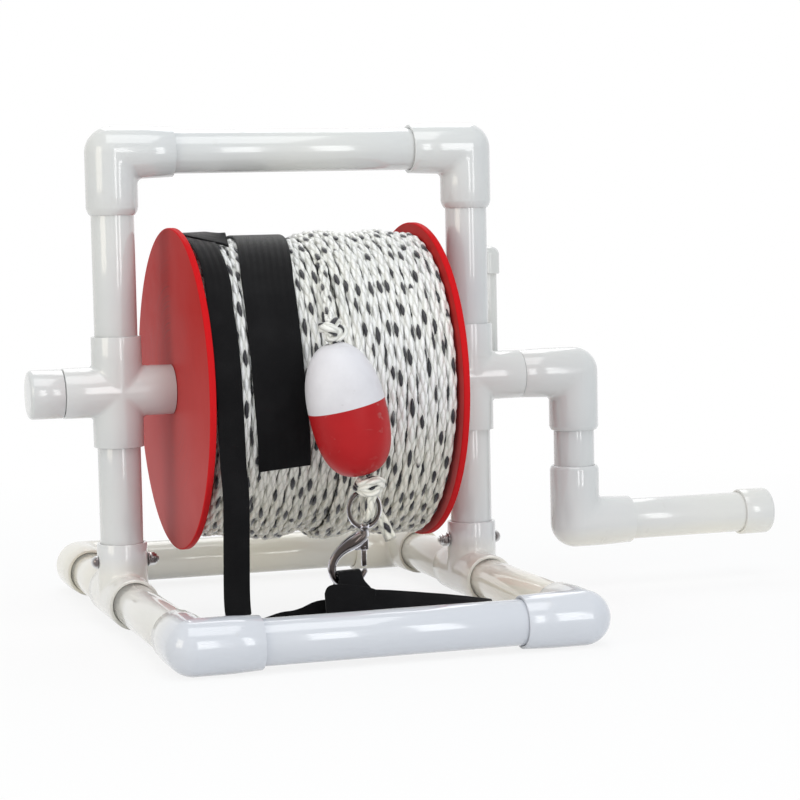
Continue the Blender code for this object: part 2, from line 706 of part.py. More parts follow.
def make_rope_end():
    """The rope from the drum through the float to the snap's eye."""
    before, last = right_turns_points()[-2:]
    onward = (last - before).normalized()
    start = last + onward * FIT_GAP
    straight = start + onward * ROPE_OD
    stop = knot_centre - (knot_centre - start).normalized() * (UPPER_KNOT + FIT_GAP)
    sag = straight.lerp(stop, 0.5) - Vector((0, 0, ROPE_OD / 6))
    route = [start, *smooth_route([straight, sag, stop], ROPE_OD * 2)]
    tube_curve("free_rope", route, rope_r, ROPE)
    lump("upper_knot", knot_centre, (UPPER_KNOT, UPPER_KNOT, UPPER_KNOT * 0.9), ROPE)
    make_float()
    half = FLOAT_LENGTH / 2
    ends = [float_centre + float_axis * reach for reach in (-half - ROPE_SHOWS, 0, half - FIT_GAP)]
    tube_curve("float_rope", ends, rope_r, ROPE)
    lower = Vector((LOWER_KNOT_X, float_y, LOWER_KNOT_HEIGHT))
    lump("lower_knot", lower, LOWER_KNOT, ROPE)
    make_eye_bight()
    make_tail(lower)


def make_eye_bight():
    """The rope's bight through the snap's eye: a half turn under the eye's wire and up to the knot."""
    middle = Vector((EYE_X + BIGHT_ASIDE, float_y, EYE_HEIGHT + EYE_RADIUS - BIGHT_DROP))
    top = LOWER_KNOT_HEIGHT - LOWER_KNOT[2] * 0.82 - FIT_GAP - middle.z
    points = [middle + Vector((0, -BIGHT_BEND, top))]
    for step in range(9):
        swing = math.pi * step / 8
        points.append(middle + Vector((0, -math.cos(swing), -math.sin(swing))) * BIGHT_BEND)
    points.append(middle + Vector((0, BIGHT_BEND, top)))
    tube_curve("rope_eye_bight", points, BIGHT_OD / 2, ROPE)


def make_tail(knot):
    """The rope's cut tail, out of the knot's right side and down behind the eye."""
    start = knot + Vector((LOWER_KNOT[0] + TAIL_OD * 0.35, 0.004, -0.001))
    route = [start, start + Vector((0.0020, 0.0045, -0.008)), start + Vector((0.0027, 0.0080, -0.020)),
             start + Vector((0.0030, 0.0085, -0.032)), start + Vector((0.0065, 0.0080, -0.043)),
             start + Vector((0.0110, 0.0060, -0.055))]
    tube_curve("rope_tail", smooth_route(route, ROPE_OD), TAIL_OD / 2, ROPE)


def make_float():
    """An egg-shaped float, blunter below than above, bored through for the rope."""
    profile = []
    for step in range(FLOAT_STEPS + 1):
        swing = math.pi * step / FLOAT_STEPS
        power = UPPER_FULLNESS if swing < math.pi / 2 else LOWER_FULLNESS
        radius = FLOAT_OD / 2 * math.sin(swing) ** power
        height = math.copysign(abs(math.cos(swing)) ** power, math.cos(swing)) * FLOAT_LENGTH / 2
        profile.append((max(radius, FLOAT_BORE / 2), height))
    bm = bmesh.new()
    spin_profile(bm, profile, 18, True)
    made = mesh_object("float", bm, FLOAT)
    turn = Vector((0, 0, 1)).rotation_difference(float_axis).to_matrix().to_4x4()
    made.matrix_world = Matrix.Translation(place(*float_centre)) @ turn


def make_snap():
    """The snap hook: a swivel eye, a body that sweeps down into the hook, and its sprung gate."""
    wire = EYE_WIRE / 2
    ring = []
    for k in range(8):
        swing = math.tau * k / 8
        ring.append((EYE_RADIUS + wire * math.cos(swing), wire * math.sin(swing)))
    centre = place(EYE_X, float_y, EYE_HEIGHT)
    eye = turned("swivel_eye", ring, "Y", centre, STEEL, 16, closed=True)
    low = HOOK[0][1] + TURN_GAP
    combine(eye, rod(HUB_OD / 2, HUB_HEIGHT / 2, "Z", place(EYE_X, float_y, low + HUB_HEIGHT / 2)), "UNION")
    stem_centre = place(EYE_X, float_y, low - STEM_LENGTH / 2 + 0.001)
    combine(eye, rod(STEM_OD / 2, STEM_LENGTH / 2, "Z", stem_centre, sides=8), "UNION")
    make_hook(low)
    make_gate()


def make_hook(eye_low):
    points = [Vector((x, float_y, z)) for x, z, _ in HOOK]
    radii = [radius / HOOK[0][2] for _, _, radius in HOOK]
    sweep = tube_curve("sweep", points, HOOK[0][2], STEEL, 2, radii)
    bpy.context.view_layer.update()
    mesh = bpy.data.meshes.new_from_object(sweep.evaluated_get(bpy.context.evaluated_depsgraph_get()))
    bpy.data.objects.remove(sweep)
    mesh.materials.clear()
    body = finish_object("snap_body", mesh, STEEL)
    lug_low = GATE_HEIGHT - PIN_HINGE_OD * 1.2
    lug_high = HOOK[1][1]
    lug_size = LUG_WIDTH, LUG_DEPTH, lug_high - lug_low
    combine(body, box(place(GATE_X, float_y, (lug_low + lug_high) / 2), lug_size), "UNION")
    shoulder = lump("tool", (SHOULDER[0], float_y, SHOULDER[1]), SHOULDER_HALF, STEEL)
    combine(body, shoulder, "UNION")
    slot = LUG_WIDTH * 3, GATE_DEPTH + 2 * FIT_GAP, 0.020
    slot_high = GATE_HEIGHT + GATE_THICKNESS * 0.75
    combine(body, box(place(GATE_X, float_y, slot_high - slot[2] / 2), slot), "DIFFERENCE")
    hinge = PIN_HINGE_OD / 2 / math.cos(math.pi / 8) + FIT_GAP
    combine(body, rod(hinge, LUG_DEPTH, "Y", place(GATE_X, float_y, GATE_HEIGHT), sides=8), "DIFFERENCE")
    seat_r = STEM_OD / 2 / math.cos(math.pi / 8) + FIT_GAP
    seat_low = eye_low - STEM_LENGTH - FIT_GAP
    seat = rod(seat_r, 0.010, "Z", place(EYE_X, float_y, seat_low + 0.010), sides=8)
    combine(body, seat, "DIFFERENCE")


def box(centre, size):
    bm = bmesh.new()
    bmesh.ops.create_cube(bm, size=1)
    bmesh.ops.transform(bm, matrix=Matrix.Diagonal((*size, 1)), verts=bm.verts)
    made = mesh_object("tool", bm, STEEL)
    made.location = centre
    return made


def make_gate():
    """The gate, a tongue that closes the hook's mouth, on a pin through the body's two cheeks."""
    centre = place(GATE_X, float_y, GATE_HEIGHT)
    gate = rod(PIN_HINGE_OD / 2, LUG_DEPTH / 2, "Y", centre, sides=8)
    gate.name = gate.data.name = "snap_gate"
    knuckle = rod(GATE_THICKNESS / 2, GATE_DEPTH / 2, "Y", centre, sides=12)
    combine(gate, knuckle, "UNION")
    tongue = box(centre - Vector((0, 0, GATE_DROP / 2)), (GATE_THICKNESS * 0.9, GATE_DEPTH * 0.86, GATE_DROP))
    combine(gate, tongue, "UNION")


def ribbon(name, stations, thickness=WEB_THICKNESS):
    """Webbing along stations of (centre, direction, width vector with the half width as its length)."""
    bm = bmesh.new()
    rows = []
    for centre, direction, across in stations:
        normal = direction.cross(across).normalized() * thickness / 2
        corners = (across + normal, -across + normal, -across - normal, across - normal)
        rows.append([bm.verts.new(place(*(centre + corner))) for corner in corners])
    for row, following in zip(rows, rows[1:]):
        for k in range(4):
            n = (k + 1) % 4
            bm.faces.new((row[k], row[n], following[n], following[k]))
    bm.faces.new(rows[0])
    bm.faces.new(rows[-1])
    return mesh_object(name, bm, BLACK)


def wrap(lay, radius, start, end, half_width):
    """Stations round the drum from one angle to another, in degrees from its front, up over the top."""
    count = math.ceil(abs(end - start) / WEB_STEP)
    found = []
    for step in range(count + 1):
        degrees = start + (end - start) * step / count
        angle = math.radians(degrees)
        x = float(np.interp(degrees, *lay))
        slant = float(np.interp(degrees + 1, *lay) - np.interp(degrees - 1, *lay)) / math.radians(2)
        centre = Vector((x, -radius * math.cos(angle), AXLE_HEIGHT + radius * math.sin(angle)))
        direction = Vector((slant, radius * math.sin(angle), radius * math.cos(angle))).normalized()
        across = Vector((1, 0, 0)) - direction * direction.x
        found.append((centre, direction * math.copysign(1, end - start), across.normalized() * half_width))
    return found


def web_radius(layer, gap):
    """The middle of a layer of webbing that lies clear of the rope, allowing for its flat steps."""
    flat = math.cos(math.radians(WEB_STEP / 2))
    return (ROPE_SURFACE + gap) / flat + WEB_THICKNESS / 2 + layer * (WEB_THICKNESS + FIT_GAP) / flat


def make_chest_belt():
    radius = web_radius(0, FIT_GAP)
    return ribbon("chest_belt", wrap(BELT_LAY, radius, BELT_FRONT_ANGLE, BELT_BACK_ANGLE, BELT_WIDTH / 2))


def along(route):
    """Stations through (x, y, z, width vector) places, with directions taken from their neighbours."""
    places = [Vector(item[:3]) for item in route]
    found = []
    for k, item in enumerate(route):
        direction = (places[min(k + 1, len(places) - 1)] - places[max(k - 1, 0)]).normalized()
        across = Vector(item[3])
        length = across.length
        across = (across - direction * across.dot(direction)).normalized() * length
        found.append((places[k], direction, across))
    return found


def make_harness():
    """The shoulder strap over the drum and down to the floor, and the belt's tail in the snap."""
    half = STRAP_WIDTH / 2
    under = web_radius(0, TURN_GAP)
    over = web_radius(1.6, TURN_GAP)
    turn = wrap(FLAP_LAY, over, FLAP_FRONT_ANGLE, STRAP_BACK_ANGLE, half)
    fold_angle = math.radians(STRAP_BACK_ANGLE + 3)
    fold_radius = (under + over) / 2
    out = Vector((0, -math.cos(fold_angle), math.sin(fold_angle)))
    fold = Vector((STRAP_LAY[1][-1], 0, AXLE_HEIGHT)) + out * fold_radius
    turn.append((fold, -out, Vector((half, 0, 0))))
    turn += wrap(STRAP_LAY, under, STRAP_BACK_ANGLE, 0, half)
    flat = -under
    turn += along([
        (-0.1050, flat, AXLE_HEIGHT - 0.060, (half, 0, 0)),
        (-0.1033, flat - 0.001, 0.1340, (half, 0, 0)),
        (-0.1045, flat - 0.002, 0.0850, (half, 0, 0)),
        (-0.1052, flat - 0.002, 0.0400, (half, 0, 0)),
        (-0.1035, flat - 0.004, 0.0220, (half * 0.92, -half * 0.35, half * 0.05)),
        (-0.0970, flat - 0.008, 0.0150, (half * 0.55, -half * 0.6, half * 0.45)),
        (-0.0860, flat - 0.012, 0.0128, (0, -half * 0.6, half * 0.8)),
        (-0.0650, flat - 0.015, 0.0158, (0, -half * 0.2, half * 0.97)),
        (-0.0390, flat - 0.018, 0.0156, (0, -half * 0.2, half * 0.97)),
        (-0.0290, flat - 0.019, 0.0200, (0, -half * 0.2, half * 0.97)),
    ])
    ribbon("shoulder_strap", turn)
    make_belt_tail()


def make_belt_tail():
    """Webbing through the hook: up behind it, over its bow and down in front, then away on its edge."""
    bow_x = -0.0074
    low = BELT_TAIL_THICKNESS
    wide, slim = 0.0215, 0.0111
    arch = 0.0656
    ribbon("belt_loop", along([
        (bow_x, float_y + 0.0130, low, (wide * 0.9, 0, 0)),
        (bow_x, float_y + 0.0125, 0.0300, (wide * 0.86, 0, 0)),
        (bow_x, float_y + 0.0105, 0.0500, (slim * 1.1, 0, 0)),
        (bow_x, float_y + 0.0080, 0.0610, (slim, 0, 0)),
        (bow_x, float_y + 0.0045, arch - 0.0007, (slim, 0, 0)),
        (bow_x, float_y, arch, (slim, 0, 0.0012)),
        (bow_x, float_y - 0.0045, arch - 0.0007, (slim, 0, 0)),
        (bow_x, float_y - 0.0080, 0.0610, (slim, 0, 0)),
        (bow_x, float_y - 0.0100, 0.0560, (slim * 1.08, 0, 0)),
        (bow_x, float_y - 0.0120, 0.0490, (wide * 0.97, 0, 0)),
        (bow_x - 0.0004, float_y - 0.0130, 0.0300, (wide, 0, 0)),
        (bow_x, float_y - 0.0135, low, (wide, 0, 0)),
    ]), BELT_TAIL_THICKNESS)
    half = BELT_WIDTH / 2
    front = float_y - 0.0172
    ribbon("belt_run", along([
        (-0.0347, front, 0.0306, (0, half * 0.08, half)),
        (-0.0200, front, 0.0310, (0, half * 0.08, half)),
        (-0.0020, front, 0.0285, (0, half * 0.08, half * 0.985)),
        (0.0090, front, 0.0256, (0, half * 0.08, half * 0.945)),
        (0.0145, front, 0.0250, (0, half * 0.08, half * 0.945)),
        (0.0270, front - 0.001, 0.0240, (0, half * 0.4, half * 0.895)),
        (0.0583, front - 0.003, 0.0219, (0, half * 0.58, half * 0.8)),
        (0.0860, front - 0.001, 0.0197, (0, half * 0.68, half * 0.715)),
        (0.1117, front + 0.003, 0.0172, (0, half * 0.78, half * 0.617)),
        (0.1400, front + 0.008, 0.0142, (0, half * 0.86, half * 0.5)),
    ]))


def carry(name, centre, pieces):
    """Hangs moving pieces on an empty that stands on their joint's axis."""
    pivot = bpy.data.objects.new(name, None)
    bpy.context.scene.collection.objects.link(pivot)
    pivot.location = centre
    bpy.context.view_layer.update()
    for piece in pieces:
        piece.parent = pivot
        piece.matrix_parent_inverse = pivot.matrix_world.inverted()


def main():
    clear_scene()
    make_frame()
    make_bolts()
    reel = make_reel() + make_crank() + [make_chest_belt()]
    carry("reel_axis", place(0, 0, AXLE_HEIGHT), reel)
    pin = make_lock_pin()
    carry("lock_pin_axis", place(upright_x + PIN_OUT, 0, AXLE_HEIGHT), pin)
    make_rope_end()
    make_snap()
    make_harness()


main()
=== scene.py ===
"""Rescue rope reel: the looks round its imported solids."""

import math
from contextlib import contextmanager

import bpy
import numpy as np
from mathutils import Matrix, Vector


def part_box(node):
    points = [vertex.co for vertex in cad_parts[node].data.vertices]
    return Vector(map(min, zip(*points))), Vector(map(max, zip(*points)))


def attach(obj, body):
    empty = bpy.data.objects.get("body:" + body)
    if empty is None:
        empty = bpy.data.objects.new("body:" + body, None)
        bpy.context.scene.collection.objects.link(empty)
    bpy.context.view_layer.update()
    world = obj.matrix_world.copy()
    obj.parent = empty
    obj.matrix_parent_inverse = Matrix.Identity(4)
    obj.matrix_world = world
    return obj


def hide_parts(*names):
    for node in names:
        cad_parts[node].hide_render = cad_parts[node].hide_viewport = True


bl_info = {
    "name": "Rescue Rope Reel",
    "version": (1, 0, 0),
    "blender": (4, 5, 0),
    "location": "3D View > Sidebar > Rope Reel",
    "description": "Builds a cranked rescue rope reel with its float, snap hook and webbing",
    "category": "Object",
}

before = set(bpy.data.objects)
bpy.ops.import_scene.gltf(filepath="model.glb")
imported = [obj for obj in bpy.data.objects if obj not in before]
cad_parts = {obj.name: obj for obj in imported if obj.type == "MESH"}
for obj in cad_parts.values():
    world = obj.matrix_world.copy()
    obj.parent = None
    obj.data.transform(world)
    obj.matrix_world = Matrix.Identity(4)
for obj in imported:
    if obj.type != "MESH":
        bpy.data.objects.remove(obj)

X, Y, Z = Vector((1, 0, 0)), Vector((0, 1, 0)), Vector((0, 0, 1))
mm = 0.001


def middle(node):
    low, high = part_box(node)
    return (low + high) / 2


def size(node):
    low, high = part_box(node)
    return high - low


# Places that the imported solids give
AXLE = middle("left_flange")
CENTRE_X = (AXLE.x + middle("right_flange").x) / 2
CENTRE_Y = AXLE.y
AXLE_HEIGHT = AXLE.z
DRUM_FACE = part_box("right_flange")[0].x - CENTRE_X


def place(x, y, z):
    """A point given from the middle between the flanges, in the frame's own coordinates."""
    return Vector((x + CENTRE_X, y + CENTRE_Y, z))


def length_setting(name, description, default):
    return bpy.props.FloatProperty(name=name, description=description, default=default, unit="LENGTH")


def colour_setting(name, description, default):
    return bpy.props.FloatVectorProperty(
        name=name, description=description, default=default, subtype="COLOR", size=3)


def power_setting(name, description, default):
    return bpy.props.FloatProperty(name=name, description=description, default=default, unit="POWER")


class PipeSettings(bpy.types.PropertyGroup):
    pipe_radius: length_setting("Pipe radius", "Outside radius of the frame's pipe", 0.0211)
    pipe_wall: length_setting("Pipe wall", "Wall thickness of the frame's pipe", 0.0036)
    elbow_radius: length_setting("Elbow radius", "Outside radius of an elbow's arm", 0.0255)
    tee_radius: length_setting("Tee radius", "Outside radius of a tee's or cross's arm", 0.0248)
    white: colour_setting("White", "Colour of clean pipe at the base", (0.62, 0.645, 0.70))
    # Upper white: the white darkened by painted shade, for the pipe above the base
    painted_shade_upper_white: colour_setting("Upper white", "Colour of greyer pipe above the base", (0.53, 0.565, 0.62))
    # The pipe's own yellowing colour, also used as painted warm light on the rear pipe and the base's low
    # front
    ivory_and_painted_warm_light: colour_setting("Ivory", "Colour that the pipe yellows towards", (0.92, 0.87, 0.72))


class ReelSettings(bpy.types.PropertyGroup):
    rope_radius: length_setting("Rope radius", "Radius of the rope's strands as they stand out", 0.0053)
    red: colour_setting("Red", "Colour of the flanges", (0.43, 0.026, 0.024))
    strand: colour_setting("Strand", "Colour of the rope's strands", (0.95, 0.95, 0.94))
    tracer: colour_setting("Tracer", "Colour of the rope's tracer strands", (0.016, 0.016, 0.022))


class HarnessSettings(bpy.types.PropertyGroup):
    webbing_thickness: length_setting("Webbing thickness", "Thickness of the webbing", 0.0020)
    black: colour_setting("Black", "Colour of the webbing", (0.0048, 0.0048, 0.0054))
    float_white: colour_setting("Float white", "Colour of the float's upper half", (0.74, 0.73, 0.76))
    float_red: colour_setting("Float red", "Colour of the float's lower half", (0.45, 0.009, 0.012))


class StageSettings(bpy.types.PropertyGroup):
    top_power: power_setting("Top light", "Power of the large light overhead, in watts", 19.0)
    key_power: power_setting("Key light", "Power of each tall light in front, in watts", 6.6)
    fill_power: power_setting("Fill light", "Power of the warm light at the left, in watts", 13.0)
    back_power: power_setting("Back light", "Power of the light above and behind, in watts", 14.0)
    world_strength: bpy.props.FloatProperty(
        name="World light", description="Strength of the light from all round", default=0.53)


# Materials


class Value:
    """A number or colour in a node tree, with the sums that are made with it."""

    def __init__(self, graph, socket):
        self.graph, self.socket = graph, socket

    def __add__(self, other):
        return self.graph.maths("ADD", self, other)

    def __sub__(self, other):
        return self.graph.maths("SUBTRACT", self, other)

    def __mul__(self, other):
        return self.graph.maths("MULTIPLY", self, other)

    def power(self, exponent):
        return self.graph.maths("POWER", self, exponent)

    def top(self, other):
        """The larger of the two."""
        return self.graph.maths("MAXIMUM", self, other)

    def sine(self):
        return self.graph.maths("SINE", self)

    def spread(self, low, high, to_low=0.0, to_high=1.0):
        """This number stretched from one range to another and held inside it."""
        return self.graph.value("ShaderNodeMapRange", {"Value": self, "From Min": low, "From Max": high,
                                                       "To Min": to_low, "To Max": to_high})


class Graph:
    """A node tree, with short ways to add its nodes."""

    def __init__(self, tree):
        self.tree = tree

    def feed(self, socket, value):
        """Sets an input to a value, or joins another node's output to it."""
        if isinstance(value, Value):
            self.tree.links.new(value.socket, socket)
        elif socket.type == "RGBA":
            socket.default_value = (*value[:3], 1)
        else:
            socket.default_value = value

    def add(self, kind, inputs=None, **settings):
        made = self.tree.nodes.new(kind)
        for name, value in settings.items():
            setattr(made, name, value)
        for name, value in (inputs or {}).items():
            self.feed(made.inputs[name], value)
        return made

    def value(self, kind, inputs=None, output=0, **settings):
        """One output of a new node."""
        return Value(self, self.add(kind, inputs, **settings).outputs[output])

    def maths(self, operation, *terms):
        return self.value("ShaderNodeMath", dict(enumerate(terms)), operation=operation)

    def vector_maths(self, operation, first, second, output=0):
        return self.value("ShaderNodeVectorMath", {0: first, 1: second}, output, operation=operation)

    def split(self, vector):
        """The three parts of a vector."""
        made = self.add("ShaderNodeSeparateXYZ", {"Vector": vector})
        return [Value(self, part) for part in made.outputs]

    def mix(self, share, first, second, mode="MIX"):
        inputs = {0: share, 6: first, 7: second}
        return self.value("ShaderNodeMix", inputs, 2, data_type="RGBA", blend_type=mode)

    def mapped(self, vector, **changes):
        inputs = {name.title(): value for name, value in changes.items()}
        return self.value("ShaderNodeMapping", {"Vector": vector, **inputs})

    def noise(self, vector, scale, detail=2.0, rough=0.5, output=0):
        return self.value("ShaderNodeTexNoise", {"Vector": vector, "Scale": scale, "Detail": detail,
                                                 "Roughness": rough}, output)

    def noise_along(self, number, scale, detail=2.0):
        return self.value("ShaderNodeTexNoise", {"W": number, "Scale": scale, "Detail": detail},
                          noise_dimensions="1D")

    def coordinates(self):
        return self.value("ShaderNodeTexCoord", output="Object")

    def group(self, name, build, inputs):
        """The outputs of a shared node group, which is built when it is first asked for."""
        made = self.add("ShaderNodeGroup", inputs, node_tree=bpy.data.node_groups.get(name) or build(name))
        return [Value(self, socket) for socket in made.outputs]


class Finish(Graph):
    """A material with its Principled shader, whose plain values are set on its own sockets."""

    def __init__(self, name, **sockets):
        self.material = bpy.data.materials.new(name)
        self.material.use_nodes = True
        super().__init__(self.material.node_tree)
        self.shader = self.tree.nodes["Principled BSDF"]
        for label, value in sockets.items():
            self.feed(self.shader.inputs[label.replace("_", " ")], value)

    def wear(self, cloud, scratch, grain):
        """Handling wear at the given scales: its cloud, scratches and height, and where they are read."""
        where = self.coordinates()
        worn = self.group("handling_wear", wear_group, {
            "Vector": where, "Cloud Scale": cloud, "Scratch Scale": scratch, "Grain Scale": grain})
        return *worn, where

    def paint(self, colour, rough, height, strength, distance):
        """Joins colour, roughness and a bump to the shader."""
        bump = self.value("ShaderNodeBump", {"Height": height, "Strength": strength, "Distance": distance})
        for label, value in (("Base Color", colour), ("Roughness", rough), ("Normal", bump)):
            self.feed(self.shader.inputs[label], value)
        return self.material


def new_group(name, numbers, outputs):
    """A node group that reads a vector and numbers, given with their defaults, and puts out numbers."""
    tree = bpy.data.node_groups.new(name, "ShaderNodeTree")
    tree.interface.new_socket(name="Vector", in_out="INPUT", socket_type="NodeSocketVector")
    for label, default in numbers.items():
        socket = tree.interface.new_socket(name=label, in_out="INPUT", socket_type="NodeSocketFloat")
        socket.default_value = default
    for label in outputs:
        tree.interface.new_socket(name=label, in_out="OUTPUT", socket_type="NodeSocketFloat")
    graph = Graph(tree)
    source = graph.add("NodeGroupInput")
    return graph, [Value(graph, source.outputs[label]) for label in ("Vector", *numbers)]


def wear_group(name):
    """Handling wear for any hard surface: a cloudy mask, fine scratches and a height for bumps."""
    scales = {"Cloud Scale": 18.0, "Scratch Scale": 90.0, "Grain Scale": 900.0}
    graph, (vector, cloud_scale, scratch_scale, grain_scale) = new_group(
        name, scales, ("Cloud", "Scratches", "Height"))
    cloud = graph.noise(vector, cloud_scale, 4.0, 0.6)
    ways = (graph.mapped(vector, rotation=(0.4, 0.7, 0.9), scale=(1.0, 0.06, 1.0)),
            graph.mapped(vector, rotation=(-0.8, 0.3, -0.5), scale=(0.05, 1.0, 1.0)))
    first, second = (graph.noise(way, scratch_scale).spread(0.66, 0.72) for way in ways)
    scratches = first.top(second) * cloud.spread(0.45, 0.62)
    height = graph.noise(vector, grain_scale) - scratches
    graph.add("NodeGroupOutput", {"Cloud": cloud, "Scratches": scratches, "Height": height})
    return graph.tree


def pvc(name, gloss, grain, relief):
    """Glossy white pipe, greyer above its base by painted shade, yellowing in patches, warmer and lighter at
    the rear and low front by painted warm light, a little scuffed.
    """
    settings = bpy.context.scene.pipe_settings
    finish = Finish(name, IOR=1.5, Coat_Weight=0.5, Coat_Roughness=0.03)
    cloud, scratches, height, where = finish.wear(9.0, 70.0, grain)
    _, back, up = finish.split(where)
    patches = finish.noise(where, 5.0).spread(0.35, 0.75, 0.5, 1.0)
    # Partly real, partly painted: a little yellowing in patches all over, and painted warm light that
    # lightens and warms the rear pipe and the base's low front
    painted_warm_light_low_front = up.spread(0.085, 0.050) * back.spread(-0.262, -0.200, 0.0, 0.85)
    yellowing_and_painted_warm_light = back.spread(-0.12, 0.22, 0.06, 1.0).top(painted_warm_light_low_front) * patches
    # Painted shade: the pipe turns greyer above its base
    white = finish.mix(up.spread(0.06, 0.13), settings.white, settings.painted_shade_upper_white)
    colour = finish.mix(yellowing_and_painted_warm_light, white, settings.ivory_and_painted_warm_light)
    colour = finish.mix(scratches * 0.08, colour, (0.42, 0.38, 0.32))
    rough = cloud.spread(0.3, 0.7, gloss, gloss + 0.05) + scratches * 0.12
    return finish.paint(colour, rough, height, relief, 0.0004)


def flange_red(name):
    """Satin red sheet, lighter towards its foot, with faint rings where it has been turned and rubbed."""
    settings = bpy.context.scene.reel_settings
    finish = Finish(name, IOR=1.46, Specular_IOR_Level=0.012)
    cloud, _, height, where = finish.wear(14.0, 60.0, 600.0)
    _, across, up = finish.split(finish.mapped(where, location=(0, -CENTRE_Y, -AXLE_HEIGHT)))
    radius = finish.maths("SQRT", across * across + up * up)
    rings = finish.noise_along(radius * 420.0, 1.0, 3.0)
    sweep = finish.noise_along(finish.maths("ARCTAN2", across, up), 1.4)
    near_hub = radius.spread(0.030, 0.050) * radius.spread(0.140, 0.070)
    rub = rings.spread(0.55, 0.70) * sweep.spread(0.42, 0.62) * near_hub
    colour = finish.mix(cloud * 0.30, settings.red, (0.50, 0.050, 0.042))
    colour = finish.mix(rub * 0.60, colour, (0.12, 0.012, 0.012))
    # Lighter and pinker towards the foot
    lighter_below = up.spread(0.080, -0.120) * cloud.spread(0.2, 0.6, 0.6, 1.0)
    colour = finish.mix(lighter_below * 0.75, colour, (0.56, 0.140, 0.140))
    colour = finish.mix(radius.spread(0.1565, 0.1575) * 0.9, colour, (0.60, 0.010, 0.014))
    rough = cloud.spread(0.3, 0.7, 0.34, 0.46) - rub * 0.1
    return finish.paint(colour, rough, height - rings, 0.06, 0.0003)


BRAID_STRANDS = 4
BRAID_PITCH = 0.0230
# How round a strand is across its width and along its length
STRAND_ROUNDING = (0.80, 0.42)


def braid_group(name):
    """The rope's braid on its own UV map: where strands pass over each other, and which ones are black."""
    graph, (vector,) = new_group(name, {}, ("Height", "Tracer", "Shade", "Fibre"))
    along, around, _ = graph.split(vector)
    across = around * BRAID_STRANDS
    ways = (along + across, along - across)
    cells = [graph.maths("FLOOR", way) for way in ways]
    shares = [graph.maths("FRACT", way) for way in ways]
    waves = [(share * math.pi).sine() for share in shares]
    odd = graph.maths("FLOORED_MODULO", cells[0] + cells[1], 2.0)
    lane_number = cells[0] + cells[1] * 7.0
    choices = []
    for wide, long in ((0, 1), (1, 0)):
        lane = graph.value("ShaderNodeCombineXYZ", {"X": shares[wide] * 9.0, "Y": shares[long] * 1.2,
                                                    "Z": lane_number})
        choices.append((waves[wide].power(STRAND_ROUNDING[0]) * waves[long].power(STRAND_ROUNDING[1]),
                        graph.noise(lane, 1.0, 3.0, 0.6)))
    height, fibre = (graph.value("ShaderNodeMix", {0: odd, 2: first, 3: second}, data_type="FLOAT")
                     for first, second in zip(*choices))
    strand = graph.maths("FLOORED_MODULO", cells[0], float(BRAID_STRANDS))
    two_black = graph.noise_along(along, 0.11, 1.0).spread(0.47, 0.48)
    second_black = graph.maths("COMPARE", strand, 2.0, 0.1) * two_black
    black = graph.maths("COMPARE", strand, 0.0, 0.1).top(second_black)
    tracer = black * graph.maths("SUBTRACT", 1.0, odd) * height.spread(0.30, 0.42)
    cell = graph.value("ShaderNodeCombineXYZ", {"X": cells[0], "Y": cells[1]})
    shade = graph.value("ShaderNodeTexWhiteNoise", {"Vector": cell}, noise_dimensions="2D")
    graph.add("NodeGroupOutput", {"Height": height, "Tracer": tracer, "Shade": shade, "Fibre": fibre})
    return graph.tree


def rope_material(name):
    """Glossy white braid with black tracers, painted cream-grey shade in its hollows and between its fibres,
    and cream towards the drum's underside.
    """
    settings = bpy.context.scene.reel_settings
    finish = Finish(name, IOR=1.5, Sheen_Weight=0.35, Sheen_Roughness=0.4)
    lay = finish.value("ShaderNodeUVMap", uv_map="lay")
    uneven = finish.vector_maths("SUBTRACT", finish.noise(lay, 2.3, output=1), (0.5, 0.5, 0.5))
    shift = finish.vector_maths("MULTIPLY", uneven, (0.34, 0.07, 0.0))
    height, tracer, shade, fibre = finish.group(
        "rope_braid", braid_group, {"Vector": finish.vector_maths("ADD", lay, shift)})
    where = finish.coordinates()
    level = finish.split(where)[2]
    soil = finish.noise(where, 12.0, 3.0).spread(0.42, 0.72)
    low = level.spread(AXLE_HEIGHT - 0.02, AXLE_HEIGHT - 0.12, 0.0, 0.7)
    # Painted shade: grey lines in the grooves between the strands' fibres
    painted_shade_between_fibres = fibre.spread(0.36, 0.58, 0.20, 0.0)
    # Painted shade: cream-grey where the braid sinks between its strands
    hollow = height.spread(0.08, 0.70, 1.0, 0.0)
    colour = settings.strand
    for share, other in ((shade * 0.8, (0.97, 0.97, 0.96)), (soil * 0.35, (0.84, 0.84, 0.72)),
                         (low, (0.92, 0.87, 0.72)), (painted_shade_between_fibres, (0.60, 0.61, 0.60)),
                         (hollow * 0.50, (0.48, 0.48, 0.40)), (tracer, settings.tracer)):
        colour = finish.mix(share, colour, other)
    relief = height + fibre * 0.30 + finish.noise(where, 900.0) * 0.35
    return finish.paint(colour, fibre.spread(0.3, 0.7, 0.16, 0.40), relief, 0.75, 0.0016)


def webbing_material(name):
    """Black webbing: a ribbed weave on its own UV map, in metres."""
    settings = bpy.context.scene.harness_settings
    finish = Finish(name, IOR=1.45, Specular_IOR_Level=0.07, Sheen_Weight=0.40, Sheen_Roughness=0.25)
    along, across, _ = finish.split(finish.value("ShaderNodeUVMap", uv_map="lay"))
    chevron = finish.maths("PINGPONG", across, 0.0032)
    rib = ((along + chevron) * (math.tau / 0.0016)).sine()
    thread = (across * (math.tau / 0.0011)).sine()
    weave = rib * 0.6 + thread * 0.4
    dust = finish.noise(finish.coordinates(), 30.0, 4.0).spread(0.45, 0.75, 0.0, 0.35)
    colour = finish.mix(weave.spread(-1.0, 1.0, 0.0, 0.6), settings.black, (0.012, 0.012, 0.013))
    colour = finish.mix(dust, colour, (0.020, 0.020, 0.021))
    return finish.paint(colour, weave.spread(-1.0, 1.0, 0.72, 0.52), weave, 0.45, 0.0003)


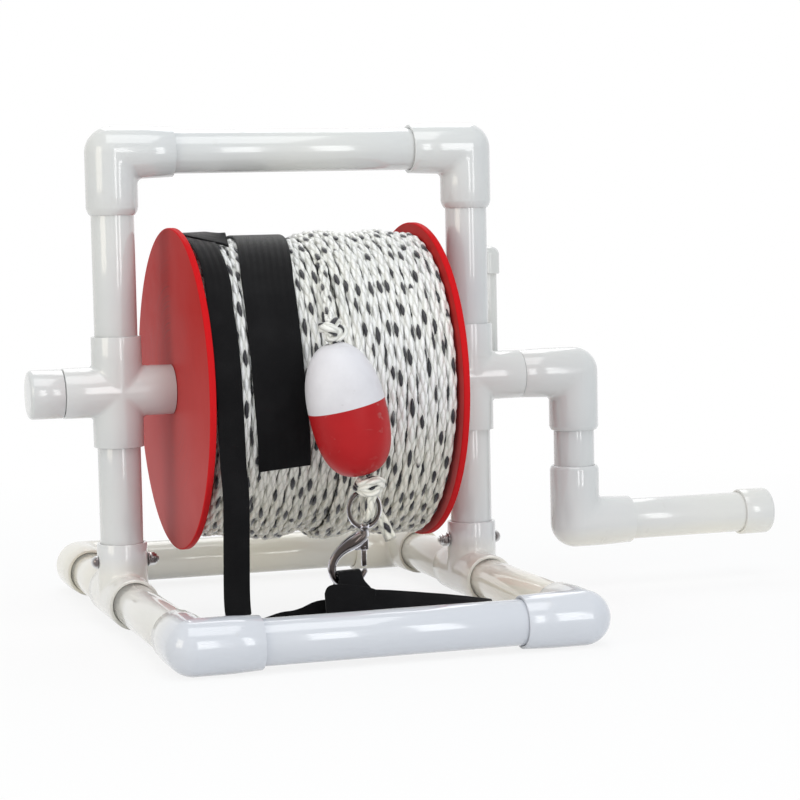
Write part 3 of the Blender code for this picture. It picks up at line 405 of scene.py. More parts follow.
def float_material(name):
    """Satin float skin, white above its middle line and red below."""
    settings = bpy.context.scene.harness_settings
    finish = Finish(name, IOR=1.46, Specular_IOR_Level=0.25)
    cloud, scratches, height, where = finish.wear(26.0, 120.0, 520.0)
    along_axis = finish.vector_maths("DOT_PRODUCT", where, float_axis, output=1)
    line = float_centre.dot(float_axis) + FLOAT_LINE
    is_red = along_axis.spread(line + 0.00015, line - 0.00015)
    colour = finish.mix(is_red, settings.float_white, settings.float_red)
    colour = finish.mix(scratches * 0.25, colour, (0.34, 0.30, 0.28))
    colour = finish.mix(cloud.spread(0.35, 0.70, 0.0, 0.16), colour, (0.30, 0.26, 0.26), "MULTIPLY")
    return finish.paint(colour, cloud.spread(0.3, 0.7, 0.30, 0.44), height, 0.10, 0.0004)


def melted_fibre(name):
    """The rope's cut end, melted to a cream bead with a brown tint."""
    finish = Finish(name, IOR=1.5)
    cloud, _, height, _ = finish.wear(380.0, 300.0, 2200.0)
    colour = finish.mix(cloud.spread(0.35, 0.65), (0.66, 0.65, 0.60), (0.40, 0.36, 0.28))
    return finish.paint(colour, cloud.spread(0.3, 0.7, 0.22, 0.42), height, 0.15, 0.0003)


def metal(name, edge, face, rough):
    """Polished metal with a painted reflection: dark where it faces the viewer, as of a dim room, and bright
    along its edges.
    """
    finish = Finish(name, Metallic=1.0)
    cloud, scratches, height, _ = finish.wear(60.0, 240.0, 1500.0)
    painted_reflection_share = finish.value("ShaderNodeLayerWeight", {"Blend": 0.5}, "Facing")
    # Painted reflection: the face colour where the metal faces the viewer, the edge colour towards its
    # outline
    colour = finish.mix((painted_reflection_share + cloud * 0.10).spread(0.18, 0.52), face, edge)
    level = cloud.spread(0.3, 0.7, rough, rough * 1.7) + scratches * 0.12
    return finish.paint(colour, level, height, 0.05, 0.0002)


MATERIALS = {
    "pipe_white": lambda name: pvc(name, gloss=0.09, grain=700.0, relief=0.03),
    "fitting_white": lambda name: pvc(name, gloss=0.11, grain=260.0, relief=0.05),
    "turned_red": flange_red,
    "wound_braid": rope_material,
    "ribbed_weave": webbing_material,
    "float_skin": float_material,
    "melted_fibre": melted_fibre,
    # Nickel and steel: a bright painted reflection colour at the edges and a dark one facing the viewer
    "nickel": lambda name: metal(name, (0.90, 0.90, 0.96), (0.072, 0.060, 0.056), 0.10),
    "stainless": lambda name: metal(name, (0.62, 0.62, 0.62), (0.16, 0.14, 0.14), 0.20),
}

# Each look: its material, its slot, how its pieces' names end, and the angle up to which edges are smooth
LOOKS = {
    "pipe": ("pipe_white", "pvc", "smooth", 35),
    "fitting": ("fitting_white", "pvc", "smooth", 35),
    "flange": ("turned_red", "flange_red", "smooth", 35),
    "bolt": ("stainless", "bolt_steel", "turned", 35),
    "rope": ("wound_braid", "rope", "braid", 180),
    "melted": ("melted_fibre", "rope", "melted_end", 35),
    "float": ("float_skin", "float_foam", "smooth", 35),
    "snap": ("nickel", "snap_metal", "smooth", 40),
    "webbing": ("ribbed_weave", "webbing", "weave", 50),
}


def material(name):
    """Each finish is built once, when the first piece asks for it."""
    return bpy.data.materials.get(name) or MATERIALS[name](name)


# Modelling


def alone(piece):
    bpy.ops.object.select_all(action="DESELECT")
    piece.select_set(True)
    bpy.context.view_layer.objects.active = piece


def start(add_primitive, **sizes):
    """A new primitive, with nothing else selected."""
    bpy.ops.object.select_all(action="DESELECT")
    add_primitive(**sizes)
    return bpy.context.object


@contextmanager
def editing(piece, kind="VERT", wanted=None):
    """Edit mode with all of a piece selected, or only the edges or faces that a test wants."""
    alone(piece)
    bpy.ops.object.mode_set(mode="EDIT")
    bpy.ops.mesh.select_mode(type=kind)
    bpy.ops.mesh.select_all(action="DESELECT" if wanted else "SELECT")
    if wanted:
        bpy.ops.object.mode_set(mode="OBJECT")
        for part in piece.data.edges if kind == "EDGE" else piece.data.polygons:
            part.select = wanted(part)
        bpy.ops.object.mode_set(mode="EDIT")
    yield
    bpy.ops.object.mode_set(mode="OBJECT")


def close_up(threshold):
    """In edit mode: merges the points that meet and turns all faces outwards."""
    bpy.ops.mesh.select_all(action="SELECT")
    bpy.ops.mesh.remove_doubles(threshold=threshold)
    bpy.ops.mesh.normals_make_consistent(inside=False)


def extrude_by(*shift):
    bpy.ops.mesh.extrude_region_move(TRANSFORM_OT_translate={"value": shift})


def turn_into(piece, forward, centre, side=None):
    """Turns a piece made along Z so that it lies along the given way, and puts it at the centre."""
    if side is None:
        side = Z if abs(forward.z) < 0.9 else Y
    across = side.cross(forward).normalized()
    turn = Matrix((across, forward.cross(across).normalized(), forward)).transposed().to_4x4()
    piece.matrix_world = Matrix.Translation(centre) @ turn @ piece.matrix_world
    alone(piece)
    bpy.ops.object.transform_apply(location=True, rotation=True, scale=True)


def lathe(profile, forward, centre, steps=72, closed=False):
    """Turns a profile of (radius, height) round a line: one vertex drawn out point by point, then spun."""
    piece = start(bpy.ops.mesh.primitive_plane_add, size=0.01)
    points = [*profile, profile[0]] if closed else profile
    with editing(piece):
        bpy.ops.mesh.merge(type="CENTER")
        bpy.ops.transform.translate(value=(profile[0][0], 0, profile[0][1]))
        for (r0, h0), (r1, h1) in zip(points, points[1:]):
            bpy.ops.mesh.extrude_vertices_move(TRANSFORM_OT_translate={"value": (r1 - r0, 0, h1 - h0)})
        bpy.ops.mesh.select_all(action="SELECT")
        bpy.ops.mesh.spin(steps=steps, angle=math.tau, center=(0, 0, 0), axis=(0, 0, 1))
        close_up(2e-6)
    turn_into(piece, forward, centre)
    return piece


def swings(steps, whole=math.pi / 2):
    """The angles of an even sweep, with both ends."""
    return [whole * step / steps for step in range(steps + 1)]


def rounded(radius, height, corner, steps=4):
    """The profile of a rounded outer corner, from the rim's side up to the face at the height."""
    return [(radius - corner + corner * math.cos(swing), height - corner + corner * math.sin(swing))
            for swing in swings(steps)]


def flat_ring(bore, outer, half, corner, steps):
    """The profile of a flat ring with rounded outer edges."""
    edge = rounded(outer, half, corner, steps)
    return [(bore, -half), *[(r, -h) for r, h in reversed(edge)], *edge, (bore, half)]


def apply_modifiers(piece):
    alone(piece)
    for change in list(piece.modifiers):
        bpy.ops.object.modifier_apply(modifier=change.name)


def soften(piece, width, segments=2, angle=35):
    """Rounds a piece's hard edges."""
    change = piece.modifiers.new("bevel", "BEVEL")
    change.width = width
    change.segments = segments
    change.limit_method = "ANGLE"
    change.angle_limit = math.radians(angle)
    apply_modifiers(piece)


def combine(piece, tool, operation):
    """Cuts a tool out of a piece or adds it, and removes the tool."""
    change = piece.modifiers.new("shape", "BOOLEAN")
    change.object = tool
    change.operation = operation
    change.solver = "EXACT"
    apply_modifiers(piece)
    bpy.data.objects.remove(tool)


def join(pieces):
    bpy.ops.object.select_all(action="DESELECT")
    for piece in pieces:
        piece.select_set(True)
    bpy.context.view_layer.objects.active = pieces[0]
    bpy.ops.object.join()
    return pieces[0]


def dress(piece, look, body, *nodes, name=None, smooth=None):
    """Names a finished piece, gives it its material, ties it to its body and hides the nodes it stands for.
    """
    finish, slot_name, ending, angle = LOOKS[look]
    alone(piece)
    bpy.ops.object.shade_smooth_by_angle(angle=math.radians(smooth or angle))
    piece.name = piece.data.name = name or f"{nodes[0]}_{ending}"
    piece.data.materials.clear()
    piece.data.materials.append(material(finish))
    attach(piece, body)
    if nodes:
        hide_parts(*nodes)
    return piece


def link(name, data):
    """A new object in the scene."""
    made = bpy.data.objects.new(name, data)
    bpy.context.scene.collection.objects.link(made)
    return made


# Pipes and fittings


def tube_along(node, radius, wall, sides=72):
    """A hollow tube in a node's place: an open cylinder, given its wall and soft ends."""
    extent = size(node)
    forward = (X, Y, Z)[max(range(3), key=lambda k: extent[k])]
    length = extent.dot(forward)
    piece = start(bpy.ops.mesh.primitive_cylinder_add, vertices=sides, radius=radius, depth=length,
                  end_fill_type="NOTHING")
    with editing(piece):
        bpy.ops.mesh.normals_make_consistent(inside=False)
    turn_into(piece, forward, middle(node))
    shell = piece.modifiers.new("wall", "SOLIDIFY")
    shell.thickness = wall
    shell.offset = -1
    apply_modifiers(piece)
    soften(piece, wall * 0.15)
    return piece


def arm(centre, forward, side, profile, sides=64):
    """One arm of a fitting: a ring drawn out to the arm's mouth, in over its lip and down its socket."""
    piece = start(bpy.ops.mesh.primitive_circle_add, vertices=sides, radius=profile[0][0])
    with editing(piece):
        for (r0, h0), (r1, h1) in zip(profile, profile[1:]):
            extrude_by(0, 0, h1 - h0)
            bpy.ops.transform.resize(value=(r1 / r0, r1 / r0, 1), center_override=(0, 0, h1))
        bpy.ops.mesh.edge_face_add()
    turn_into(piece, forward, centre, side)
    return piece


def mitre(piece, centre, forward, neighbour):
    """Cuts an arm back along the plane where it meets its neighbour."""
    with editing(piece):
        bpy.ops.mesh.bisect(plane_co=centre, plane_no=(forward - neighbour).normalized(), clear_inner=True)


def edge_ends(piece, edge, centre):
    return [piece.data.vertices[k].co - centre for k in edge.vertices]


def round_corner(piece, centre, arm_a, arm_b, radius, steps=16):
    """Fills the outside of an elbow's bend: half of one arm's end ring is spun round to the other arm's."""
    def on_half_ring(edge):
        ends = edge_ends(piece, edge, centre)
        in_plane = all(abs(p.dot(arm_a)) < 1e-5 and abs(p.length - radius) < 2e-4 for p in ends)
        return in_plane and sum(p.dot(arm_b) for p in ends) < -1e-5

    with editing(piece, "EDGE", on_half_ring):
        bpy.ops.mesh.spin(steps=steps, angle=math.pi / 2, center=centre, axis=arm_a.cross(arm_b))
        close_up(MEETING)


def round_creases(piece, centre, ways, width):
    """Rounds the creases of a fitting, where its arms meet at their insides."""
    pairs = [(a, b) for k, a in enumerate(ways) for b in ways[k + 1:] if abs(a.dot(b)) < 0.5]

    def on_crease(edge):
        ends = edge_ends(piece, edge, centre)
        return any(all(abs(p.dot(a - b)) < 3e-5 and p.dot(a) > -1e-5 for p in ends)
                   and sum(p.dot(a) for p in ends) > width * 1.2 for a, b in pairs)

    with editing(piece, "EDGE", on_crease):
        bpy.ops.mesh.bevel(offset=width, segments=4, affect="EDGES")


def corner_of(node, ways, radius):
    """Where the arms of a fitting meet, from its box."""
    low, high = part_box(node)
    centre = (low + high) / 2
    for k in range(3):
        forward = {round(way[k]) for way in ways} - {0}
        if forward == {1}:
            centre[k] = low[k] + radius
        elif forward == {-1}:
            centre[k] = high[k] - radius
    return centre


# How near two points of a fitting are when they are one
MEETING = 2e-5
# From a fitting's centre to its mouth, and the share of it that its socket takes
ELBOW_REACH, TEE_REACH = 0.0604, 0.0542
SOCKET_SHARE = 0.45
PIPE_GAP = 0.0002
# A mouth is a list of (share of the radius, distance back from the mouth)
SQUARE_MOUTH = ((0.955, 0.0),)
CHAMFER_MOUTH = ((1.0, 0.0078), (0.985, 0.0058), (0.950, 0.0034), (0.905, 0.0013), (0.868, 0.0))
SMALL_CHAMFER = ((1.0, 0.0042), (0.975, 0.0024), (0.925, 0.0))
TEE_MOUTH = ((0.993, 0.0),)


def fitting(node, ways, radius, reach, mouths, bore):
    """An elbow, tee or cross: its arms, cut where they meet and joined into one shell."""
    centre = corner_of(node, ways, radius)
    plane = ways[0].cross(ways[1]).normalized()
    pieces = []
    for forward, mouth in zip(ways, mouths):
        lip = [(radius * share, reach - back) for share, back in mouth]
        socket = [(bore, reach), (bore, reach - reach * SOCKET_SHARE)]
        piece = arm(centre, forward, plane, [(radius, 0), (radius, radius * 1.25), *lip, *socket])
        for neighbour in ways:
            if abs(neighbour.dot(forward)) < 0.5:
                mitre(piece, centre, forward, neighbour)
        pieces.append(piece)
    piece = join(pieces)
    with editing(piece):
        close_up(MEETING)
    is_elbow = len(ways) == 2
    if is_elbow:
        round_corner(piece, centre, *ways, radius)
    round_creases(piece, centre, ways, radius * (0.20 if is_elbow else 0.12))
    return piece


class REEL_OT_pipes(bpy.types.Operator):
    """Builds every straight pipe of the frame, the axle and the crank"""
    bl_idname = "rope_reel.pipes"
    bl_label = "Pipes"

    def execute(self, context):
        settings = context.scene.pipe_settings
        frame_pipes = ["front_base_tube", "rear_base_tube", "carry_bar"]
        for side in ("left", "right"):
            frame_pipes += [f"{side}_{part}" for part in
                            ("front_side_tube", "rear_side_tube", "lower_upright", "upper_upright")]
        reel_pipes = ["axle_tube", "crank_arm_tube", "crank_handle_tube"]
        for body, names in (("frame", frame_pipes), ("reel", reel_pipes)):
            for name in names:
                dress(tube_along(name, settings.pipe_radius, settings.pipe_wall), "pipe", body, name)
        return {"FINISHED"}


class REEL_OT_fittings(bpy.types.Operator):
    """Builds the elbows, tees, crosses and caps"""
    bl_idname = "rope_reel.fittings"
    bl_label = "Fittings"

    def execute(self, context):
        settings = context.scene.pipe_settings
        bore = settings.pipe_radius + PIPE_GAP
        for name, body, ways, mouths in self.plan():
            if len(ways) == 2:
                piece = fitting(name, ways, settings.elbow_radius, ELBOW_REACH, mouths, bore)
            else:
                piece = fitting(name, ways, settings.tee_radius, TEE_REACH, mouths, bore)
            if name == "right_cross":
                self.cut_pin_hole(piece)
            soften(piece, width=0.0007)
            dress(piece, "fitting", body, name)
        for name, forward in (("axle_end_cap", X), ("crank_handle_cap", -X)):
            low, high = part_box(name)
            face = middle(name)
            face.x = low.x if forward == X else high.x
            profile = self.cap_profile(outer=0.0240, inner=bore, length=0.0340, corner=0.0045)
            dress(lathe(profile, forward, face), "fitting", "reel", name)
        return {"FINISHED"}

    @staticmethod
    def plan():
        """Each fitting's name, body, ways out of its centre, and mouths."""
        found = []
        for side, inward in (("left", X), ("right", -X)):
            found += [(f"{end}_{side}_elbow", "frame", (inward, backward), (SQUARE_MOUTH,) * 2)
                      for end, backward in (("front", Y), ("rear", -Y))]
            found += [(f"top_{side}_elbow", "frame", (inward, -Z), (SQUARE_MOUTH, CHAMFER_MOUTH)),
                      (f"{side}_base_tee", "frame", (Y, Z, -Y), (TEE_MOUTH,) * 3),
                      (f"{side}_cross", "frame", (X, Z, -X, -Z), (TEE_MOUTH,) * 4)]
        return found + [("crank_axle_elbow", "reel", (-X, -Z), (SQUARE_MOUTH, SMALL_CHAMFER)),
                        ("crank_handle_elbow", "reel", (X, Z), (SQUARE_MOUTH, SMALL_CHAMFER))]

    @staticmethod
    def cut_pin_hole(piece):
        radius = PIN_RADIUS + PIPE_GAP
        profile = [(0, -0.02), (radius, -0.02), (radius, 0.02), (0, 0.02)]
        combine(piece, lathe(profile, Y, middle("lock_pin_shank"), steps=48), "DIFFERENCE")

    @staticmethod
    def cap_profile(outer, inner, length, corner):
        """From the middle of the slightly crowned face out over the rounded edge and into the mouth."""
        face = [(0.0, 0.0), (outer * 0.45, 0.0001), (outer * 0.7, 0.0003)]
        edge = [(r, -h + 0.0004) for r, h in reversed(rounded(outer, 0.0, corner, 6))]
        mouth = [(outer, length - 0.0012), (outer - 0.0004, length - 0.0004), (outer - 0.0012, length),
                 (inner, length), (inner, 0.004), (0.0, 0.004)]
        return face + edge + mouth


PIN_RADIUS, PIN_WALL = 0.01065, 0.0028
PIN_FITTING_RADIUS, PIN_FITTING_REACH = 0.01375, 0.0220


class REEL_OT_lock_pin(bpy.types.Operator):
    """Builds the pull pin of small pipe behind the right upright"""
    bl_idname = "rope_reel.lock_pin"
    bl_label = "Lock pin"

    def execute(self, context):
        bore = PIN_RADIUS + PIPE_GAP
        half = size("lock_pin_shank").y / 2
        shank = lathe([(PIN_RADIUS, -half), (PIN_RADIUS, half - 0.0001), (PIN_RADIUS - PIN_WALL, half),
                       (PIN_RADIUS - PIN_WALL, -half)], Y, middle("lock_pin_shank"), steps=48, closed=True)
        dress(shank, "pipe", "lock_pin", "lock_pin_shank")
        grip = tube_along("lock_pin_grip", PIN_RADIUS, PIN_WALL, sides=48)
        dress(grip, "pipe", "lock_pin", "lock_pin_grip")
        elbow = fitting("lock_pin_elbow", (-Y, Z), PIN_FITTING_RADIUS, PIN_FITTING_REACH,
                        (SQUARE_MOUTH,) * 2, bore)
        soften(elbow, width=0.0004)
        dress(elbow, "fitting", "lock_pin", "lock_pin_elbow")
        top = middle("lock_pin_cap")
        top.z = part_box("lock_pin_cap")[1].z
        outer, length, crown, floor = PIN_FITTING_RADIUS, 0.0290, 0.0085, 0.006
        dome = [(outer * math.sin(swing) ** 0.8, crown * (1 - math.cos(swing))) for swing in swings(8)]
        mouth = [(outer, length - 0.0008), (outer - 0.0006, length), (bore, length), (bore, floor),
                 (0.0, floor)]
        dress(lathe([*dome, *mouth], -Z, top, steps=48), "fitting", "lock_pin", "lock_pin_cap")
        return {"FINISHED"}


class REEL_OT_flanges(bpy.types.Operator):
    """Builds the two red flanges"""
    bl_idname = "rope_reel.flanges"
    bl_label = "Flanges"

    def execute(self, context):
        for name in ("left_flange", "right_flange"):
            extent = size(name)
            profile = flat_ring(bore=0.0213, outer=extent.z / 2, half=extent.x / 2, corner=0.0011, steps=3)
            dress(lathe(profile, X, middle(name), steps=160, closed=True), "flange", "reel", name)
        return {"FINISHED"}


class REEL_OT_bolts(bpy.types.Operator):
    """Builds the through bolts at the base tees, with their washers and nuts"""
    bl_idname = "rope_reel.bolts"
    bl_label = "Bolts"

    def execute(self, context):
        for side, outward in (("left", -X), ("right", X)):
            self.bolt(f"{side}_tee_bolt", outward)
            name = f"{side}_tee_washer"
            profile = flat_ring(bore=0.0033, outer=0.0073, half=size(name).x / 2, corner=0.0004, steps=2)
            dress(lathe(profile, X, middle(name), steps=48, closed=True), "bolt", "frame", name)
            self.nut(f"{side}_tee_nut", outward)
        return {"FINISHED"}

    @staticmethod
    def bolt(name, outward):
        """A round head, a shank and a threaded end."""
        low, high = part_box(name)
        head = middle(name)
        head.x = low.x if outward == -X else high.x
        length, seat, pitch = size(name).x, 0.0050, 0.0010
        shank, root, threaded, threads = 0.0031, 0.0026, 0.017, 15
        dome = [(0.0064 * math.sin(swing), seat - 0.0062 * math.cos(swing)) for swing in swings(6)]
        thread = []
        for k in range(threads):
            thread += [(shank, length - threaded + k * pitch), (root, length - threaded + (k + 0.5) * pitch)]
        profile = [*dome, (shank, seat), *thread, (0.0024, length), (0.0, length)]
        dress(lathe(profile, -outward, head, steps=32), "bolt", "frame", name)

    @staticmethod
    def nut(name, outward):
        """A lock nut: a hexagon with its corners turned off, and the collar that holds its insert."""
        height = size(name).x
        piece = start(bpy.ops.mesh.primitive_cylinder_add, vertices=6, radius=0.0066, depth=height * 0.95)
        with editing(piece, "FACE", lambda face: face.normal.z > 0.9):
            bpy.ops.mesh.inset(thickness=0.0012)
            extrude_by(0, 0, height * 0.35)
            bpy.ops.mesh.inset(thickness=0.0009)
            extrude_by(0, 0, -0.0008)
        turn_into(piece, -outward, middle(name) + outward * height * 0.025)
        soften(piece, width=0.0003)
        dress(piece, "bolt", "frame", name)


# Rope

ROPE_OD = 0.0095
FIT_GAP = 0.0003
TURNS = 23
# Radius of the wound rope's lowest turns, and how far the right turns and the two heaps stand out over them
DRUM_SURFACE = 0.1462
RIGHT_RISE = 0.0018
HUMP_RISE = 0.0046
HUMPS = ((0.026, 0.022), (0.082, 0.020))
# Where along the drum its turns hang slack, how far, and over what angle to each side of straight down
SAG_X = (-0.1164, -0.0880, -0.0750, -0.0350, -0.0090, 0.0150, 0.0420, 0.0800, 0.1164)
SAG_DROP = (0, 0, 0.0030, 0.0085, 0, 0.0060, 0.0010, 0.0030, 0.0085)
SAG_ANGLE = 60.0
DIVE_RADIUS = 0.0130
LEAVING_X = 0.0040
# Length of the steps that the rope's line is drawn in, and the radius that they are counted at
WINDING_STEP, WINDING_RADIUS = 0.0023, 0.143
# How much the hand-laid turns wander along the drum and heave off it: waves of (rate, shift) per turn
WANDER, WANDER_WAVES = 0.0005, ((1.7, 0.3), (4.9, 1.1), (11.3, 2.0))
HEAVE, HEAVE_WAVES = 0.0006, ((2.3, 1.9), (7.1, 0.4), (13.7, 2.6))

FLOAT_LENGTH, FLOAT_OD, FLOAT_BORE = 0.1270, 0.0730, 0.00525
# How far the float's top leans to the left of its foot
FLOAT_LEAN = 0.0281
# How far above the float's middle its two colours meet
FLOAT_LINE = 0.0035
# Half the upper knot's height, and the x and height of the lower knot
UPPER_KNOT = 0.0100
LOWER_KNOT = (0.0140, 0.1480)
EYE_X = 0.0092
# The rope of the knots, the bight and the tail is braided shorter, and its mesh is finer
KNOT_ROPE = {"sides": 28, "pitch": 0.0165}

winding_x = DRUM_FACE - FIT_GAP - ROPE_OD / 2
winding_pitch = 2 * winding_x / TURNS
float_axis = Vector((-FLOAT_LEAN, 0, math.sqrt(FLOAT_LENGTH ** 2 - FLOAT_LEAN ** 2))).normalized()
float_y = -(DRUM_SURFACE + RIGHT_RISE + HUMP_RISE + 0.0005 + FLOAT_OD / 2)
float_middle = Vector((-0.0050, float_y, 0.2173))
float_centre = place(*float_middle)
aside = Vector((float_axis.z, 0, -float_axis.x))
knot_centre = float_middle + float_axis * (FLOAT_LENGTH / 2 + FIT_GAP + UPPER_KNOT * 0.9) + aside * 0.0030


def swell(x):
    """How far the layer in view stands out over the turns heaped below it."""
    return HUMP_RISE * min(sum(math.exp(-((x - at) / wide) ** 2) for at, wide in HUMPS), 1)


def sag(x, angle):
    """How far the slack turns hang off the drum's underside."""
    from_below = np.degrees((angle + math.pi * 1.5) % math.tau - math.pi)
    share = np.cos(math.pi / 2 * np.clip(from_below / SAG_ANGLE, -1, 1)) ** 2
    return share * np.interp(x, SAG_X, SAG_DROP)


def leaving_point():
    """The turn and angle at which the rope leaves the drum for the upper knot."""
    rise = knot_centre.z - AXLE_HEIGHT
    radius = DRUM_SURFACE - ROPE_OD / 2 + RIGHT_RISE + swell(LEAVING_X)
    angle = math.atan2(rise, -knot_centre.y) + math.acos(radius / math.hypot(knot_centre.y, rise))
    return (winding_x - LEAVING_X) / winding_pitch, angle


def unevenness(turn, waves):
    return sum(np.sin(turn * rate + shift) for rate, shift in waves) / len(waves)


def winding(first, last, left):
    """The rope's middle line from one turn to another, a little uneven as laid by hand."""
    loose_turn, loose_angle = leaving_point()
    count = int((last - first) * math.tau * WINDING_RADIUS / WINDING_STEP)
    turn = np.linspace(first, last, count)
    angle = loose_angle + math.tau * (loose_turn - turn)
    x = winding_x - winding_pitch * turn
    radius = np.full(count, DRUM_SURFACE - ROPE_OD / 2)
    if not left:
        radius += RIGHT_RISE + np.array([swell(k) for k in x])
    radius += sag(x, angle)
    ease = np.clip(np.minimum(turn - first, last - turn) * 4, 0, 1)
    x = x + WANDER * ease * unevenness(turn, WANDER_WAVES)
    radius = radius + HEAVE * ease * unevenness(turn, HEAVE_WAVES)
    return np.stack([x, -radius * np.cos(angle), AXLE_HEIGHT + radius * np.sin(angle)], 1), angle


def drum_ways(angle):
    """Out from the drum and upwards along its surface, at an angle up from its front."""
    return Vector((0, -math.cos(angle), math.sin(angle))), Vector((0, math.sin(angle), math.cos(angle)))


def dive(last, angle, towards):
    """The rope's way down between its neighbours: a quarter bend, then one diameter straight in."""
    out, along = drum_ways(angle)
    along = along * towards
    centre = Vector(last) - out * DIVE_RADIUS
    points = [centre + along * DIVE_RADIUS * math.sin(swing) + out * DIVE_RADIUS * math.cos(swing)
              for swing in swings(8)[1:]]
    return [tuple(p) for p in (*points, points[-1] - out * ROPE_OD)]


def distances(line):
    """How far each point of a line is along it."""
    return np.concatenate([[0], np.cumsum(np.linalg.norm(np.diff(line, axis=0), axis=1))])


def smooth_line(points, spacing):
    """Even points on a smooth curve through the chosen ones."""
    route = [Vector(p) for p in points]
    padded = [route[0] * 2 - route[1], *route, route[-1] * 2 - route[-2]]
    fine = []
    for before, a, b, after in zip(padded, padded[1:], padded[2:], padded[3:]):
        for step in range(24):
            t = step / 24
            fine.append(0.5 * (2 * a + (b - before) * t + (2 * before - 5 * a + 4 * b - after) * t ** 2
                               + (3 * a - before - 3 * b + after) * t ** 3))
    fine = np.array([*fine, route[-1]])
    travel = distances(fine)
    even = np.linspace(0, travel[-1], max(3, int(travel[-1] / spacing)))
    return np.stack([np.interp(even, travel, fine[:, k]) for k in range(3)], 1)


def tube_mesh(name, points, along, around, whole=0.0):
    """A closed tube through rows of points, capped. Its UV map grows by the given whole in a round."""
    rows, columns = points.shape[:2]
    index = np.arange(rows * columns).reshape(rows, columns)
    following = np.roll(index, -1, axis=1)
    quads = np.stack([index[:-1], following[:-1], following[1:], index[1:]], -1).reshape(-1, 4)
    u = np.broadcast_to(along[:, None], (rows, columns))
    next_around = np.roll(around, -1, axis=1)
    next_around[:, -1] += whole
    corners = ((u[:-1], around[:-1]), (u[:-1], next_around[:-1]),
               (u[1:], next_around[1:]), (u[1:], around[1:]))
    uv = np.stack([np.stack(corner, -1) for corner in corners], 2).reshape(-1, 2)
    ends = [np.stack([u[0], around[0][::-1]], 1), np.stack([u[-1], around[-1]], 1)]
    mesh = bpy.data.meshes.new(name)
    mesh.from_pydata((points + np.array([CENTRE_X, CENTRE_Y, 0])).reshape(-1, 3).tolist(), [],
                     [*quads.tolist(), index[0][::-1].tolist(), index[-1].tolist()])
    layer = mesh.uv_layers.new(name="lay")
    layer.data.foreach_set("uv", np.concatenate([uv, *ends]).astype(np.float32).ravel())
    mesh.validate()
    return link(name, mesh)


def unit(vectors):
    return vectors / np.linalg.norm(vectors, axis=1)[:, None]


def rope(body, line, *nodes, radius=None, sides=18, shift=0.0, on_drum=False, relief=0.0017,
         pitch=BRAID_PITCH):
    """A braided rope along a line: its strands stand out of the tube, and its UV map counts them."""
    radius = radius or bpy.context.scene.reel_settings.rope_radius
    line = np.asarray(line, float)
    tangent = unit(np.gradient(line, axis=0))
    if on_drum:
        normal = line - np.array([0, 0, AXLE_HEIGHT])
        normal[:, 0] = 0
        # Few points on the side that lies against the drum
        turn = np.radians([*np.linspace(-110, 110, sides - 4), *np.linspace(110, 250, 6)[1:-1]])
    else:
        normal = np.zeros_like(line)
        way = Vector(tangent[0]).orthogonal()
        for k, forward in enumerate(tangent):
            way = way - Vector(forward) * way.dot(Vector(forward))
            normal[k] = way.normalized()
        turn = np.linspace(0, math.tau, sides, endpoint=False)
    normal = unit(normal - tangent * (normal * tangent).sum(1)[:, None])
    side = np.cross(tangent, normal)
    travel = distances(line) + shift
    along = travel / pitch + 0.5 * np.sin(travel * 4.1) + 0.3 * np.sin(travel * 9.7 + 1)
    twist = 0.20 * np.sin(travel * 3.3 + 0.7) + 0.12 * np.sin(travel * 7.9)
    around = turn[None, :] / math.tau + twist[:, None]
    a = along[:, None] + around * BRAID_STRANDS
    b = along[:, None] - around * BRAID_STRANDS
    wave_a, wave_b = np.abs(np.sin(math.pi * a)), np.abs(np.sin(math.pi * b))
    wide, long = STRAND_ROUNDING
    first_on_top = (np.floor(a) + np.floor(b)) % 2 < 0.5
    lift = np.where(first_on_top, wave_a ** wide * wave_b ** long, wave_b ** wide * wave_a ** long)
    reach = radius + relief * (lift - 0.82)
    out = normal[:, None, :] * np.cos(turn)[None, :, None] + side[:, None, :] * np.sin(turn)[None, :, None]
    piece = tube_mesh(nodes[0], line[:, None, :] + reach[:, :, None] * out, along, around, 1.0)
    return dress(piece, "rope", body, *nodes)


